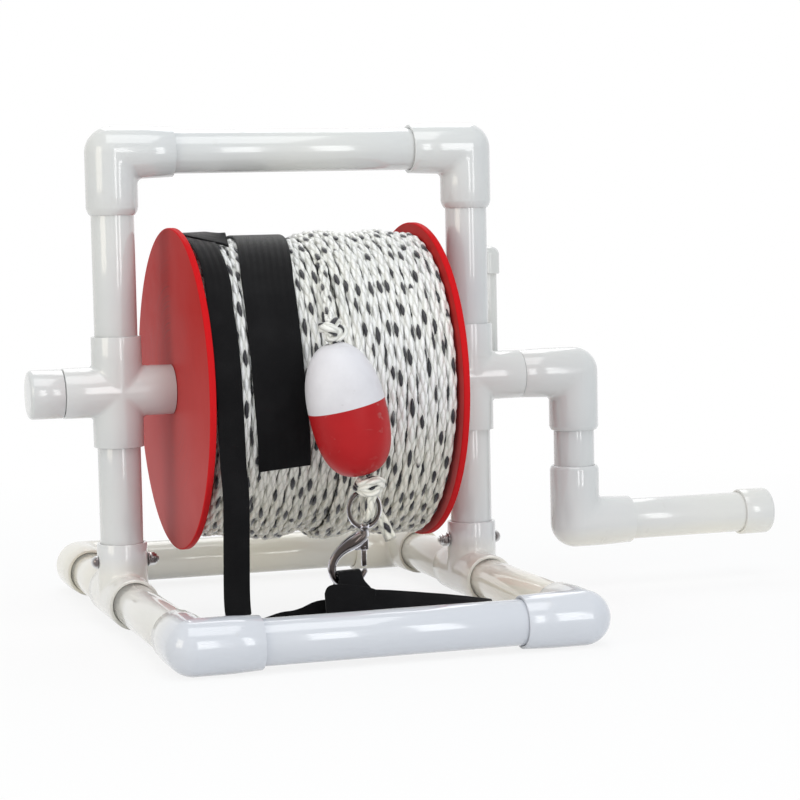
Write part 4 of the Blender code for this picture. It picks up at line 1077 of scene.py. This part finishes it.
class REEL_OT_wound_rope(bpy.types.Operator):
    """Builds the rope on the drum: the layer in view and the layers below it"""
    bl_idname = "rope_reel.wound_rope"
    bl_label = "Wound rope"

    def execute(self, context):
        loose_turn, _ = leaving_point()
        line, angle = winding(0, loose_turn, False)
        onward = drum_ways(angle[-1])[1] * -ROPE_OD
        leaving = [tuple(Vector(line[-1]) + onward * k / 4) for k in (1, 2, 3, 4)]
        points = [*dive(line[0], angle[0], 1)[::-1], *line, *leaving]
        rope("reel", points, "rope_right_turns", on_drum=True)
        line, angle = winding(loose_turn + 0.07, TURNS, True)
        points = [*dive(line[0], angle[0], 1)[::-1], *line, *dive(line[-1], angle[-1], -1)]
        rope("reel", points, "rope_left_turns", on_drum=True, shift=0.004)
        self.layers_below()
        self.barrel()
        return {"FINISHED"}

    @staticmethod
    def layers_below():
        """The layer under the one in view, as rounded ribs."""
        extent = size("rope_inner_layers")
        half, radius, inner = extent.x / 2, extent.z / 2 - 0.0050, 0.0452
        pitch = extent.x / TURNS
        ribs = [(radius + 0.0042 * math.sin(math.pi * step / 6), (k + step / 6) * pitch - half)
                for k in range(TURNS) for step in range(6)]
        profile = [(inner, -half), *ribs, (radius, half), (inner, half)]
        piece = lathe(profile, X, middle("rope_inner_layers"), steps=96, closed=True)
        layer = piece.data.uv_layers.new(name="lay")
        for loop in piece.data.loops:
            spot = piece.data.vertices[loop.vertex_index].co
            swing = math.atan2(spot.z - AXLE_HEIGHT, -(spot.y - CENTRE_Y))
            layer.data[loop.index].uv = (swing * 13, spot.x / pitch)
        dress(piece, "rope", "reel", "rope_inner_layers", name="rope_layers_below", smooth=35)

    @staticmethod
    def barrel():
        low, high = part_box("drum_barrel")
        inner, outer, length = 0.0390, 0.0444, high.x - low.x
        piece = lathe([(inner, -length), (outer, -length), (outer, 0), (inner, 0)], X,
                      Vector((high.x, CENTRE_Y, AXLE_HEIGHT)), steps=96, closed=True)
        dress(piece, "pipe", "reel", "drum_barrel")


class REEL_OT_rope_end(bpy.types.Operator):
    """Builds the rope from the drum through the float to the snap, with its knots and tail"""
    bl_idname = "rope_reel.rope_end"
    bl_label = "Rope end"

    def execute(self, context):
        loose_turn, _ = leaving_point()
        line, angle = winding(0, loose_turn, False)
        onward = -drum_ways(angle[-1])[1]
        first = Vector(line[-1]) + onward * (ROPE_OD + FIT_GAP)
        straight = first + onward * ROPE_OD
        stop = knot_centre - (knot_centre - first).normalized() * (UPPER_KNOT * 0.35)
        slack = straight.lerp(stop, 0.5) - Vector((0, 0, ROPE_OD / 6))
        bottom = float_middle - float_axis * (FLOAT_LENGTH / 2 + 0.0005)
        inside = [float_middle + float_axis * 0.030, float_middle - float_axis * 0.030]
        route = smooth_line(
            [first, straight, slack, stop, knot_centre - float_axis * 0.006, *inside, bottom], 0.0016)
        piece = rope("frame", route, "free_rope", "float_rope", radius=ROPE_OD / 2, sides=24)
        knots = self.knots()
        return {"FINISHED"}

    @staticmethod
    def knots():
        """Two tight overhand knots, the bight through the snap's eye, and the tail with its melted end."""
        parts = REEL_OT_rope_end
        lower = Vector((*LOWER_KNOT, 0)).xzy + Y * float_y
        lower_turns = [lower + Vector(p) * mm for p in (
            (-4.5, 1, 2.0), (-9.0, -3, 0.2), (-8.8, -9, -1.6), (-3.0, -12, 0.8), (4.5, -11.5, 1.6),
            (10.0, -7, -1.5), (10.5, 0, -3.6), (5.5, 6, -3.5), (-3.0, 7, -2.5), (-9.5, 2, -4.2),
            (-8.0, -7, -6.0), (-1.5, -11.5, -8.6), (5.0, -9.5, -6.0), (6.0, -3, -2.0))]
        upper_line = parts.overhand(knot_centre + Z * 0.0022, (0.0128, 0.0125, 0.0118), (62, 12, 30))
        lower_line = smooth_line(lower_turns, 0.0014)
        made = [rope("frame", line, name, radius=0.0053, shift=0.012, relief=0.0012, **KNOT_ROPE)
                for name, line in (("upper_knot", upper_line), ("lower_knot", lower_line))]
        return [*made, parts.bight(), *parts.tail(lower)]

    @staticmethod
    def overhand(centre, reach, turn):
        """The line of a tight overhand knot that just fills the given half sizes."""
        sweep = np.linspace(0.10, math.tau - 0.10, 110)
        line = np.stack([np.sin(sweep) + 2 * np.sin(2 * sweep), np.cos(sweep) - 2 * np.cos(2 * sweep),
                         -1.7 * np.sin(3 * sweep)], 1)
        about_x, first_about_z, last_about_z = (math.radians(degrees) for degrees in turn)
        tilt = Matrix.Rotation(last_about_z, 3, "Z") @ Matrix.Rotation(about_x, 3, "X")
        line = line @ np.array(tilt @ Matrix.Rotation(first_about_z, 3, "Z")).T
        line -= (line.max(0) + line.min(0)) / 2
        line *= (np.array(reach) - 0.0047) / line.max(0)
        return line + np.array(centre)

    @staticmethod
    def bight():
        """From the knot down through the snap's eye and up again."""
        ring = Vector((EYE_X + 0.0026, float_y, 0.1236))
        bend = 0.0088
        down = [(0.0050, -bend * 0.75, 0.0225), (0.0034, -bend, 0.0160), (0.0008, -bend, 0.0070)]
        under = [(0, -bend * math.cos(swing), -bend * math.sin(swing)) for swing in swings(12, math.pi)]
        up = [(x, -y, z) for x, y, z in reversed(down)]
        line = smooth_line([ring + Vector(p) for p in (*down, *under, *up)], 0.0014)
        return rope("frame", line, "rope_eye_bight", radius=0.0049, relief=0.0011, **KNOT_ROPE)

    @staticmethod
    def tail(knot):
        line = smooth_line([knot + Vector(p) * mm for p in (
            (4.0, 2, 0.0), (7.0, 8, -1.5), (9.0, 13, -9.0), (10.5, 14, -20.0), (13.0, 12.5, -32.0),
            (18.0, 11, -43.0), (23.5, 9.5, -55.5))], 0.0015)
        radius = 0.0059
        piece = rope("frame", line, "rope_tail", radius=radius, shift=0.012, relief=0.0011, **KNOT_ROPE)
        forward = Vector(line[-1] - line[-2]).normalized()
        profile = [(0.0, -0.0006), (radius, -0.0006), *rounded(0.0060, 0.0012, 0.0010, 3), (0.0, 0.0010)]
        melted = lathe(profile, forward, place(*line[-1]), steps=32)
        return [piece, dress(melted, "melted", "frame", name="rope_tail_melted_end")]


class REEL_OT_float(bpy.types.Operator):
    """Builds the two-colour float"""
    bl_idname = "rope_reel.float_body"
    bl_label = "Float"

    def execute(self, context):
        half, bore = FLOAT_LENGTH / 2, FLOAT_BORE
        skin = []
        for swing in swings(64, math.pi)[1:-1]:
            fullness = 0.91 if swing < math.pi / 2 else 0.74
            radius = FLOAT_OD / 2 * math.sin(swing) ** fullness
            height = math.copysign(abs(math.cos(swing)) ** fullness, math.cos(swing)) * half
            if radius > bore + 0.0008:
                skin.append((radius, height))
        profile = [(bore, half * 0.97), (bore + 0.0003, half * 0.988), *skin, (bore + 0.0003, -half * 0.994),
                   (bore, -half * 0.97)]
        piece = lathe(profile, float_axis, float_centre, steps=96, closed=True)
        dress(piece, "float", "float", "float")
        return {"FINISHED"}


# Snap hook

# The gate's hinge, as (x, height)
GATE = (0.0080, 0.0875)
EYE_HEIGHT, EYE_RADIUS, WIRE_RADIUS = 0.1212, 0.0149, 0.0022
# The eye is stretched upwards by this factor, from this height
EYE_STRETCH, EYE_FOOT = 1.12, 0.1063
SWIVEL_FOOT = 0.1037
# The swivel's turned collar, as (radius, height) over its foot
COLLAR = ((0.0, 0.0), (0.0036, 0.0), (0.0046, 0.0005), (0.0050, 0.0014), (0.0050, 0.0024), (0.0043, 0.0029),
          (0.0043, 0.0033), (0.0048, 0.0038), (0.0046, 0.0048), (0.0034, 0.0058), (0.0, 0.0061))
# The hook's line from the swivel down to its point, as (x, height, radius)
HOOK_LINE = (
    (0.0074, 0.1033, 0.0058), (0.0074, 0.1012, 0.0063), (0.0070, 0.0982, 0.0069), (0.0012, 0.0942, 0.0074),
    (-0.0050, 0.0912, 0.0069), (-0.0122, 0.0872, 0.0054), (-0.0190, 0.0811, 0.0045),
    (-0.0229, 0.0742, 0.0041), (-0.0236, 0.0672, 0.0040), (-0.0219, 0.0608, 0.0039),
    (-0.0174, 0.0558, 0.0038), (-0.0104, 0.0533, 0.0037), (-0.0028, 0.0542, 0.0036), (0.0038, 0.0584, 0.0034),
    (0.0084, 0.0642, 0.0030), (0.0098, 0.0668, 0.0020), (0.0102, 0.0675, 0.0008))


class REEL_OT_snap(bpy.types.Operator):
    """Builds the snap hook with its swivel eye and gate"""
    bl_idname = "rope_reel.snap"
    bl_label = "Snap hook"

    def execute(self, context):
        self.eye()
        self.hook()
        self.gate()
        return {"FINISHED"}

    @staticmethod
    def eye():
        ring = [(EYE_RADIUS + WIRE_RADIUS * math.cos(swing), WIRE_RADIUS * math.sin(swing))
                for swing in swings(24, math.tau)[:-1]]
        loop = lathe(ring, Y, place(EYE_X, float_y, EYE_HEIGHT), closed=True)
        with editing(loop):
            foot = place(EYE_X, float_y, EYE_FOOT)
            bpy.ops.transform.resize(value=(1.0, 1.0, EYE_STRETCH), center_override=foot)
        foot = place(EYE_X, float_y, SWIVEL_FOOT)
        collar = lathe(COLLAR, Z, foot, steps=48)
        stem = lathe([(0.0, -0.0070), (0.0025, -0.0070), (0.0025, 0.0010), (0.0, 0.0010)], Z, foot, steps=32)
        dress(join([loop, collar, stem]), "snap", "swivel", "swivel_eye", smooth=35)

    @staticmethod
    def hook():
        """The body: a bar that tapers round into the hook, drawn as a curve and made a mesh."""
        curve = bpy.data.curves.new("hook_line", "CURVE")
        curve.dimensions = "3D"
        curve.bevel_depth = 1.0
        curve.bevel_resolution = 10
        curve.use_fill_caps = True
        spline = curve.splines.new("NURBS")
        spline.points.add(len(HOOK_LINE) - 1)
        for point, (x, z, radius) in zip(spline.points, HOOK_LINE):
            point.co = (*place(x, float_y, z), 1)
            point.radius = radius
        spline.use_endpoint_u = True
        spline.order_u = 3
        spline.resolution_u = 6
        bar = link("hook_line", curve)
        alone(bar)
        bpy.ops.object.convert(target="MESH")
        block = REEL_OT_snap.block
        lug = block(place(GATE[0], float_y, 0.0914), (0.0080, 0.0088, 0.0136), 0.0016)
        web = start(bpy.ops.mesh.primitive_uv_sphere_add, segments=48, ring_count=24, radius=1)
        with editing(web):
            bpy.ops.transform.resize(value=(0.0105, 0.0045, 0.0065))
        turn_into(web, Z, place(0.0010, float_y, 0.0905))
        slot_cut = block(place(GATE[0], float_y, 0.0817), (0.0240, 0.0052, 0.0200), 0.0002)
        for tool, operation in ((lug, "UNION"), (web, "UNION"), (slot_cut, "DIFFERENCE")):
            combine(bar, tool, operation)
        soften(bar, width=0.0003, angle=40)
        dress(bar, "snap", "frame", "snap_body")

    @staticmethod
    def block(centre, extent, corner):
        piece = start(bpy.ops.mesh.primitive_cube_add, size=1)
        piece.scale = extent
        piece.location = centre
        alone(piece)
        bpy.ops.object.transform_apply(location=True, rotation=True, scale=True)
        soften(piece, corner, segments=3)
        return piece

    @staticmethod
    def drum(centre, radius, half, corner, steps):
        """A short bar across the hook, with its ends turned off."""
        edge = [(radius - corner, half), (radius, half - 0.0004)]
        profile = [(0.0, -half), *[(r, -h) for r, h in edge], *reversed(edge), (0.0, half)]
        return lathe(profile, Y, centre, steps)

    @staticmethod
    def gate():
        hinge = place(GATE[0], float_y, GATE[1])
        pin = REEL_OT_snap.drum(hinge, radius=0.0012, half=0.0046, corner=0.0003, steps=32)
        knuckle = REEL_OT_snap.drum(hinge, radius=0.0028, half=0.0023, corner=0.0004, steps=48)
        tongue = REEL_OT_snap.block(hinge - Vector((0, 0, 0.0091)), (0.0050, 0.0040, 0.0182), 0.0013)
        dress(join([knuckle, pin, tongue]), "snap", "gate", "snap_gate")


# Webbing

STRAP_HALF = 0.0127
BELT_HALF = 0.0255
# How far the chest belt and the strap lie over the rope's lowest turns, and the folded flap over the strap
BELT_RISE, STRAP_RISE, FLAP_RISE = 0.0016, 0.0020, 0.0040
BELT_WAVE = 0.0003
# Where the webbing's middle lies on the drum: degrees up from the drum's front, and distance along it
BELT_LAY = ((-28, -0.0505), (0, -0.0578), (17, -0.0590), (33, -0.0580), (46, -0.0555), (60, -0.0500),
            (90, -0.0400), (145, -0.0400), (200, -0.0400))
STRAP_LAY = ((120, -0.1045), (98, -0.1040), (78, -0.1035), (63, -0.1032), (46, -0.1042), (33, -0.1073),
             (15, -0.1072), (0, -0.1068))
# The strap's free end, which is folded back over it
FLAP_LAY = ((77, -0.0768), (77.5, -0.0850), (80, -0.0930), (84, -0.0995), (93, -0.1035), (105, -0.1044),
            (120, -0.1045))
FOLD_ANGLE, FOLD_BULGE, FOLD_RADIUS = 120, 0.0020, 0.148
# The flap's free stations, and over how many of them it comes to lie on the strap
FLAP_STATIONS, FLAP_EASE = 18, 8
# Routes off the drum: x, distance back and height, then the half width's direction as shares
STRAP_ROUTE = (
    (-0.1065, 0, AXLE_HEIGHT - 0.004, 1, 0, 0), (-0.1050, 0, AXLE_HEIGHT - 0.060, 1, 0, 0),
    (-0.1033, -0.001, 0.1340, 1, 0, 0), (-0.1045, -0.002, 0.0850, 1, 0, 0),
    (-0.1052, -0.002, 0.0400, 1, 0, 0), (-0.1035, -0.004, 0.0220, 0.92, -0.35, 0.05),
    (-0.0970, -0.008, 0.0150, 0.55, -0.6, 0.45),
    (-0.0860, -0.012, 0.0128, 0, -0.6, 0.8), (-0.0650, -0.015, 0.0158, 0, -0.2, 0.97),
    (-0.0540, -0.0165, 0.0166, 0, -0.2, 0.97), (-0.0430, -0.018, 0.0196, 0, -0.2, 0.97),
    (-0.0330, -0.019, 0.0240, 0, -0.2, 0.97), (-0.0250, -0.019, 0.0250, 0, -0.2, 0.97),
    (-0.0190, -0.019, 0.0250, 0, -0.2, 0.97))
BELT_RUN_ROUTE = (
    (-0.0347, 0, 0.0306, 0, 0.08, 1), (-0.0200, 0, 0.0310, 0, 0.08, 1), (-0.0020, 0, 0.0285, 0, 0.08, 0.985),
    (0.0090, 0, 0.0256, 0, 0.08, 0.945), (0.0145, 0, 0.0250, 0, 0.08, 0.945),
    (0.0270, -0.001, 0.0240, 0, 0.4, 0.895), (0.0583, -0.003, 0.0219, 0, 0.58, 0.8),
    (0.0860, -0.001, 0.0197, 0, 0.68, 0.715), (0.1117, 0.003, 0.0172, 0, 0.78, 0.617),
    (0.1400, 0.008, 0.0142, 0, 0.86, 0.5))
# The loop through the hook: widest in its hanging ends, slim where it is gathered in the hook. Its route
# gives half widths in metres
LOOP_X, LOOP_FOOT, LOOP_TOP = -0.0074, 0.0030, 0.0656
LOOP_HALF, LOOP_SLIM, LOOP_THICKNESS = 0.0215, 0.0111, 0.0028
LOOP_ROUTE = (
    (0, 0.0130, LOOP_FOOT, LOOP_HALF * 0.9, 0, 0), (0, 0.0125, 0.0300, LOOP_HALF * 0.86, 0, 0),
    (0, 0.0105, 0.0500, LOOP_SLIM * 1.1, 0, 0), (0, 0.0080, 0.0610, LOOP_SLIM, 0, 0),
    (0, 0.0045, LOOP_TOP - 0.0007, LOOP_SLIM, 0, 0), (0, 0, LOOP_TOP, LOOP_SLIM, 0, 0.0012),
    (0, -0.0045, LOOP_TOP - 0.0007, LOOP_SLIM, 0, 0), (0, -0.0080, 0.0610, LOOP_SLIM, 0, 0),
    (0, -0.0100, 0.0560, LOOP_SLIM * 1.08, 0, 0), (0, -0.0120, 0.0490, LOOP_HALF * 0.97, 0, 0),
    (-0.0004, -0.0130, 0.0300, LOOP_HALF, 0, 0), (0, -0.0135, LOOP_FOOT, LOOP_HALF, 0, 0))
RUN_FRONT, RUN_CORNER, RUN_SPACING = 0.0172, 0.0090, 0.0015


def ribbon(body, node, stations, thickness):
    """Webbing along stations of (middle, width vector, out vector): soft edges and a UV map in metres."""
    corner = thickness * 0.45
    section = [(sign_a, sign_b, corner * math.cos(math.radians(turn)), corner * math.sin(math.radians(turn)))
               for sign_a, sign_b, first in ((1, 1, 0), (-1, 1, 90), (-1, -1, 180), (1, -1, 270))
               for turn in (first, first + 45, first + 90)]
    width_steps = (-0.8, -0.5, -0.2, 0.2, 0.5, 0.8)
    rows, spans, along = [], [], [0.0]
    for k, (centre, across, out) in enumerate(stations):
        if k:
            along.append(along[-1] + (centre - stations[k - 1][0]).length)
        half = across.length
        edge = [centre + across / half * (sign_a * (half - corner) + shift_a)
                + out * (sign_b * (thickness / 2 - corner) + shift_b)
                for sign_a, sign_b, shift_a, shift_b in section]
        top = [centre + across * share + out * thickness / 2 for share in reversed(width_steps)]
        low = [centre + across * share - out * thickness / 2 for share in width_steps]
        row = [*edge[:3], *top, *edge[3:9], *low, *edge[9:]]
        rows.append(row)
        spans.append([(point - centre).dot(across.normalized()) for point in row])
    piece = tube_mesh(node, np.array(rows), np.array(along), np.array(spans))
    with editing(piece):
        bpy.ops.mesh.normals_make_consistent(inside=False)
    return dress(piece, "webbing", body, node), along[-1]


def wrap(lay, radius, half, wave=0.0):
    """Stations of webbing laid round the drum, through places on its surface."""
    flat_line = smooth_line([(x, math.radians(degrees) * radius, 0) for degrees, x in lay], 0.0035)
    found = []
    for (x, travel, _), (lean, forward, _) in zip(flat_line, np.gradient(flat_line, axis=0)):
        angle = travel / radius
        out, around = drum_ways(angle)
        along = (X * lean + around * forward).normalized()
        lift = wave * math.sin(angle * 9.0 + 0.5) * math.sin(angle * 3.7)
        found.append((Vector((x, 0, AXLE_HEIGHT)) + out * (radius + lift), along.cross(out) * half, out))
    return found


def run(route, x, y, half, spacing=0.003):
    """Stations on a smooth curve through a route that starts from the given x and y."""
    keys = np.array(route, float)
    line = keys[:, :3] + (x, y, 0)
    widths = keys[:, 3:] * half
    places = smooth_line(line, spacing)
    travel = distances(line)
    goals = np.linspace(0, travel[-1], len(places))
    wide = np.stack([np.interp(goals, travel, widths[:, k]) for k in range(3)], 1)
    for _ in range(6):
        wide[1:-1] = (wide[:-2] + wide[1:-1] * 2 + wide[2:]) / 4
    found = []
    for spot, across, way in zip(places, wide, np.gradient(places, axis=0)):
        direction, across = Vector(way).normalized(), Vector(across)
        length = across.length
        across = (across - direction * across.dot(direction)).normalized() * length
        found.append((Vector(spot), across, across.normalized().cross(direction)))
    return found


class REEL_OT_webbing(bpy.types.Operator):
    """Builds the chest belt round the drum, the shoulder strap and the webbing in the snap"""
    bl_idname = "rope_reel.webbing"
    bl_label = "Webbing"

    def execute(self, context):
        thick = context.scene.harness_settings.webbing_thickness
        stations = wrap(BELT_LAY, DRUM_SURFACE + BELT_RISE + thick / 2, BELT_HALF, BELT_WAVE)
        piece, length = ribbon("reel", "chest_belt", stations, thick)
        self.shoulder_strap(thick)
        self.belt_loop()
        self.belt_run(thick)
        return {"FINISHED"}

    @staticmethod
    def shoulder_strap(thick):
        """The folded-back end, the fold, the strap down the drum's front, and its run on to the hook."""
        half = STRAP_HALF
        under = DRUM_SURFACE + STRAP_RISE + thick / 2
        over = under + FLAP_RISE
        stations = []
        for k, (spot, across, out) in enumerate(wrap(FLAP_LAY, over, half)):
            free = min(1.0, max(0.0, (FLAP_STATIONS - k) / FLAP_EASE))
            droop = math.exp(-k / 2)
            tilt = math.radians(5 + 14 * droop) * free
            aslant = across * math.cos(tilt) + out * (half * math.sin(tilt))
            face = (out - across / half * math.tan(tilt)).normalized()
            stations.append((spot - out * (0.0012 + 0.0024 * droop) * free, aslant, face))
        for turn in swings(8, math.pi)[1:-1]:
            out, along = drum_ways(math.radians(FOLD_ANGLE) + FOLD_BULGE * math.sin(turn) / FOLD_RADIUS)
            radius = (over + under) / 2 + (over - under) / 2 * math.cos(turn)
            stations.append((Vector((STRAP_LAY[0][1], 0, AXLE_HEIGHT)) + out * radius, Vector((half, 0, 0)),
                             (out * math.cos(turn) + along * math.sin(turn)).normalized()))
        stations += [(spot, -across, -out) for spot, across, out in wrap(STRAP_LAY, under, half)]
        stations += run(STRAP_ROUTE, 0, -under, half)
        piece, length = ribbon("frame", "shoulder_strap", stations, thick)

    @staticmethod
    def belt_loop():
        stations = run(LOOP_ROUTE, LOOP_X, float_y, 1, 0.002)
        piece, length = ribbon("frame", "belt_loop", stations, LOOP_THICKNESS)

    @staticmethod
    def belt_run(thick):
        half = BELT_HALF
        stations = run(BELT_RUN_ROUTE, 0, float_y - RUN_FRONT, half, RUN_SPACING)
        for k in range(7):
            spot, across, out = stations[k]
            short = max(0.0, RUN_CORNER - RUN_SPACING * k - 0.0002)
            drop = RUN_CORNER - math.sqrt(RUN_CORNER ** 2 - short ** 2)
            stations[k] = spot - across.normalized() * drop / 2, across * (1 - drop / across.length / 2), out
        piece, length = ribbon("frame", "belt_run", stations, thick)


# Stage

# The camera that was solved from the photograph: its angles in radians, its place, and its focal length in
# pixels of a picture 800 wide
CAMERA_YAW, CAMERA_PITCH, CAMERA_ROLL = 0.313453, 0.081140, -0.020560
CAMERA_PLACE = (-0.64659, -2.32805, 0.38071 + 0.0255)
FOCAL_PIXELS, PICTURE_PIXELS = 2415.011, 800
SENSOR_WIDTH = 36


def seen_directly(graph):
    """One for camera, glossy and transmission rays, and nought for the light that falls on things."""
    path = graph.add("ShaderNodeLightPath")
    camera, glossy, transmission = (Value(graph, path.outputs[f"Is {kind} Ray"])
                                    for kind in ("Camera", "Glossy", "Transmission"))
    return camera.top(glossy).top(transmission)


class REEL_OT_stage(bpy.types.Operator):
    """Sets up the floor, the light and the camera at the photograph's angle"""
    bl_idname = "rope_reel.stage"
    bl_label = "Stage"

    def execute(self, context):
        settings = context.scene.stage_settings
        context.scene.view_settings.view_transform = "Standard"
        self.camera(context.scene)
        self.world(context.scene, settings.world_strength)
        self.floor()
        for name, spot, extent, power, colour in (
                ("top", (-0.2, -0.9, 2.3), (1.6, 1.6), settings.top_power, (1, 1, 1)),
                ("front_left", (0.10, -2.6, 0.75), (0.36, 1.3), settings.key_power, (1, 1, 1)),
                ("front_right", (0.90, -2.4, 0.75), (0.36, 1.3), settings.key_power, (1, 1, 1)),
                ("fill", (-2.4, -1.0, 0.9), (1.2, 1.2), settings.fill_power, (1.0, 0.91, 0.76)),
                ("back", (0.3, 1.4, 1.9), (1.4, 1.4), settings.back_power, (1, 1, 1))):
            self.lamp(name, Vector(spot), extent, power, colour)
        return {"FINISHED"}

    @staticmethod
    def camera(scene):
        flat = math.cos(CAMERA_PITCH)
        forward = Vector((math.sin(CAMERA_YAW) * flat, math.cos(CAMERA_YAW) * flat, -math.sin(CAMERA_PITCH)))
        level = Vector((math.cos(CAMERA_YAW), -math.sin(CAMERA_YAW), 0))
        right = level * math.cos(CAMERA_ROLL) + level.cross(forward) * math.sin(CAMERA_ROLL)
        data = bpy.data.cameras.new("camera")
        data.sensor_width = SENSOR_WIDTH
        data.lens = FOCAL_PIXELS * SENSOR_WIDTH / PICTURE_PIXELS
        data.clip_start, data.clip_end = 0.05, 50
        camera = link("camera", data)
        turn = Matrix((right, right.cross(forward), -forward)).transposed().to_4x4()
        camera.matrix_world = Matrix.Translation(place(*CAMERA_PLACE)) @ turn
        scene.camera = camera

    @staticmethod
    def world(scene, strength):
        """Pale blue light from all round, and plain white where it is seen."""
        scene.world = bpy.data.worlds.new("studio")
        scene.world.use_nodes = True
        graph = Graph(scene.world.node_tree)
        background = graph.tree.nodes["Background"]
        seen = seen_directly(graph)
        graph.feed(background.inputs["Color"], graph.mix(seen, (0.89, 0.95, 1.0), (1, 1, 1)))
        graph.feed(background.inputs["Strength"], seen.spread(0.0, 1.0, strength, 1.0))

    @staticmethod
    def floor():
        """A pale floor that keeps the shadow and is seen as white further out."""
        floor = start(bpy.ops.mesh.primitive_plane_add, size=14)
        floor.name = "floor"
        floor.location.z = -0.0002
        finish = Finish("floor_white", Base_Color=(0.86, 0.86, 0.86), Roughness=0.85)
        far = finish.value("ShaderNodeVectorMath", {0: finish.coordinates()}, 1, operation="LENGTH")
        share = seen_directly(finish) * far.spread(0.35, 1.3, 0.84, 1.0)
        white = finish.value("ShaderNodeEmission", {"Color": (1, 1, 1), "Strength": 1.0})
        lit = Value(finish, finish.shader.outputs[0])
        mixed = finish.value("ShaderNodeMixShader", {0: share, 1: lit, 2: white})
        finish.feed(finish.tree.nodes["Material Output"].inputs["Surface"], mixed)
        floor.data.materials.append(finish.material)

    @staticmethod
    def lamp(name, spot, extent, power, colour):
        light = bpy.data.lights.new(name, "AREA")
        light.shape = "RECTANGLE"
        light.size, light.size_y = extent
        light.energy = power
        light.color = colour
        lamp = link(name, light)
        lamp.location = spot
        lamp.rotation_euler = (Vector((0, 0, 0.2)) - spot).to_track_quat("-Z", "Y").to_euler()


OPERATORS = (REEL_OT_stage, REEL_OT_pipes, REEL_OT_fittings, REEL_OT_lock_pin, REEL_OT_flanges, REEL_OT_bolts,
             REEL_OT_wound_rope, REEL_OT_rope_end, REEL_OT_float, REEL_OT_snap, REEL_OT_webbing)
SETTINGS = {"pipe_settings": PipeSettings, "reel_settings": ReelSettings,
            "harness_settings": HarnessSettings, "stage_settings": StageSettings}


class REEL_PT_panel(bpy.types.Panel):
    """Lists the reel's pieces and their settings"""
    bl_idname = "REEL_PT_panel"
    bl_label = "Rope Reel"
    bl_space_type = "VIEW_3D"
    bl_region_type = "UI"
    bl_category = "Rope Reel"

    def draw(self, context):
        for name, group in SETTINGS.items():
            for setting in group.__annotations__:
                self.layout.prop(getattr(context.scene, name), setting)
        for operator in OPERATORS:
            self.layout.operator(operator.bl_idname)


def register():
    for group in (*SETTINGS.values(), *OPERATORS, REEL_PT_panel):
        bpy.utils.register_class(group)
    for name, group in SETTINGS.items():
        setattr(bpy.types.Scene, name, bpy.props.PointerProperty(type=group))


def unregister():
    for name in SETTINGS:
        delattr(bpy.types.Scene, name)
    for group in (REEL_PT_panel, *OPERATORS, *SETTINGS.values()):
        bpy.utils.unregister_class(group)


def main():
    register()
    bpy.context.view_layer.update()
    for operator in OPERATORS:
        name = operator.bl_idname.split(".")[1]
        getattr(bpy.ops.rope_reel, name)()


if __name__ == "__main__":
    main()
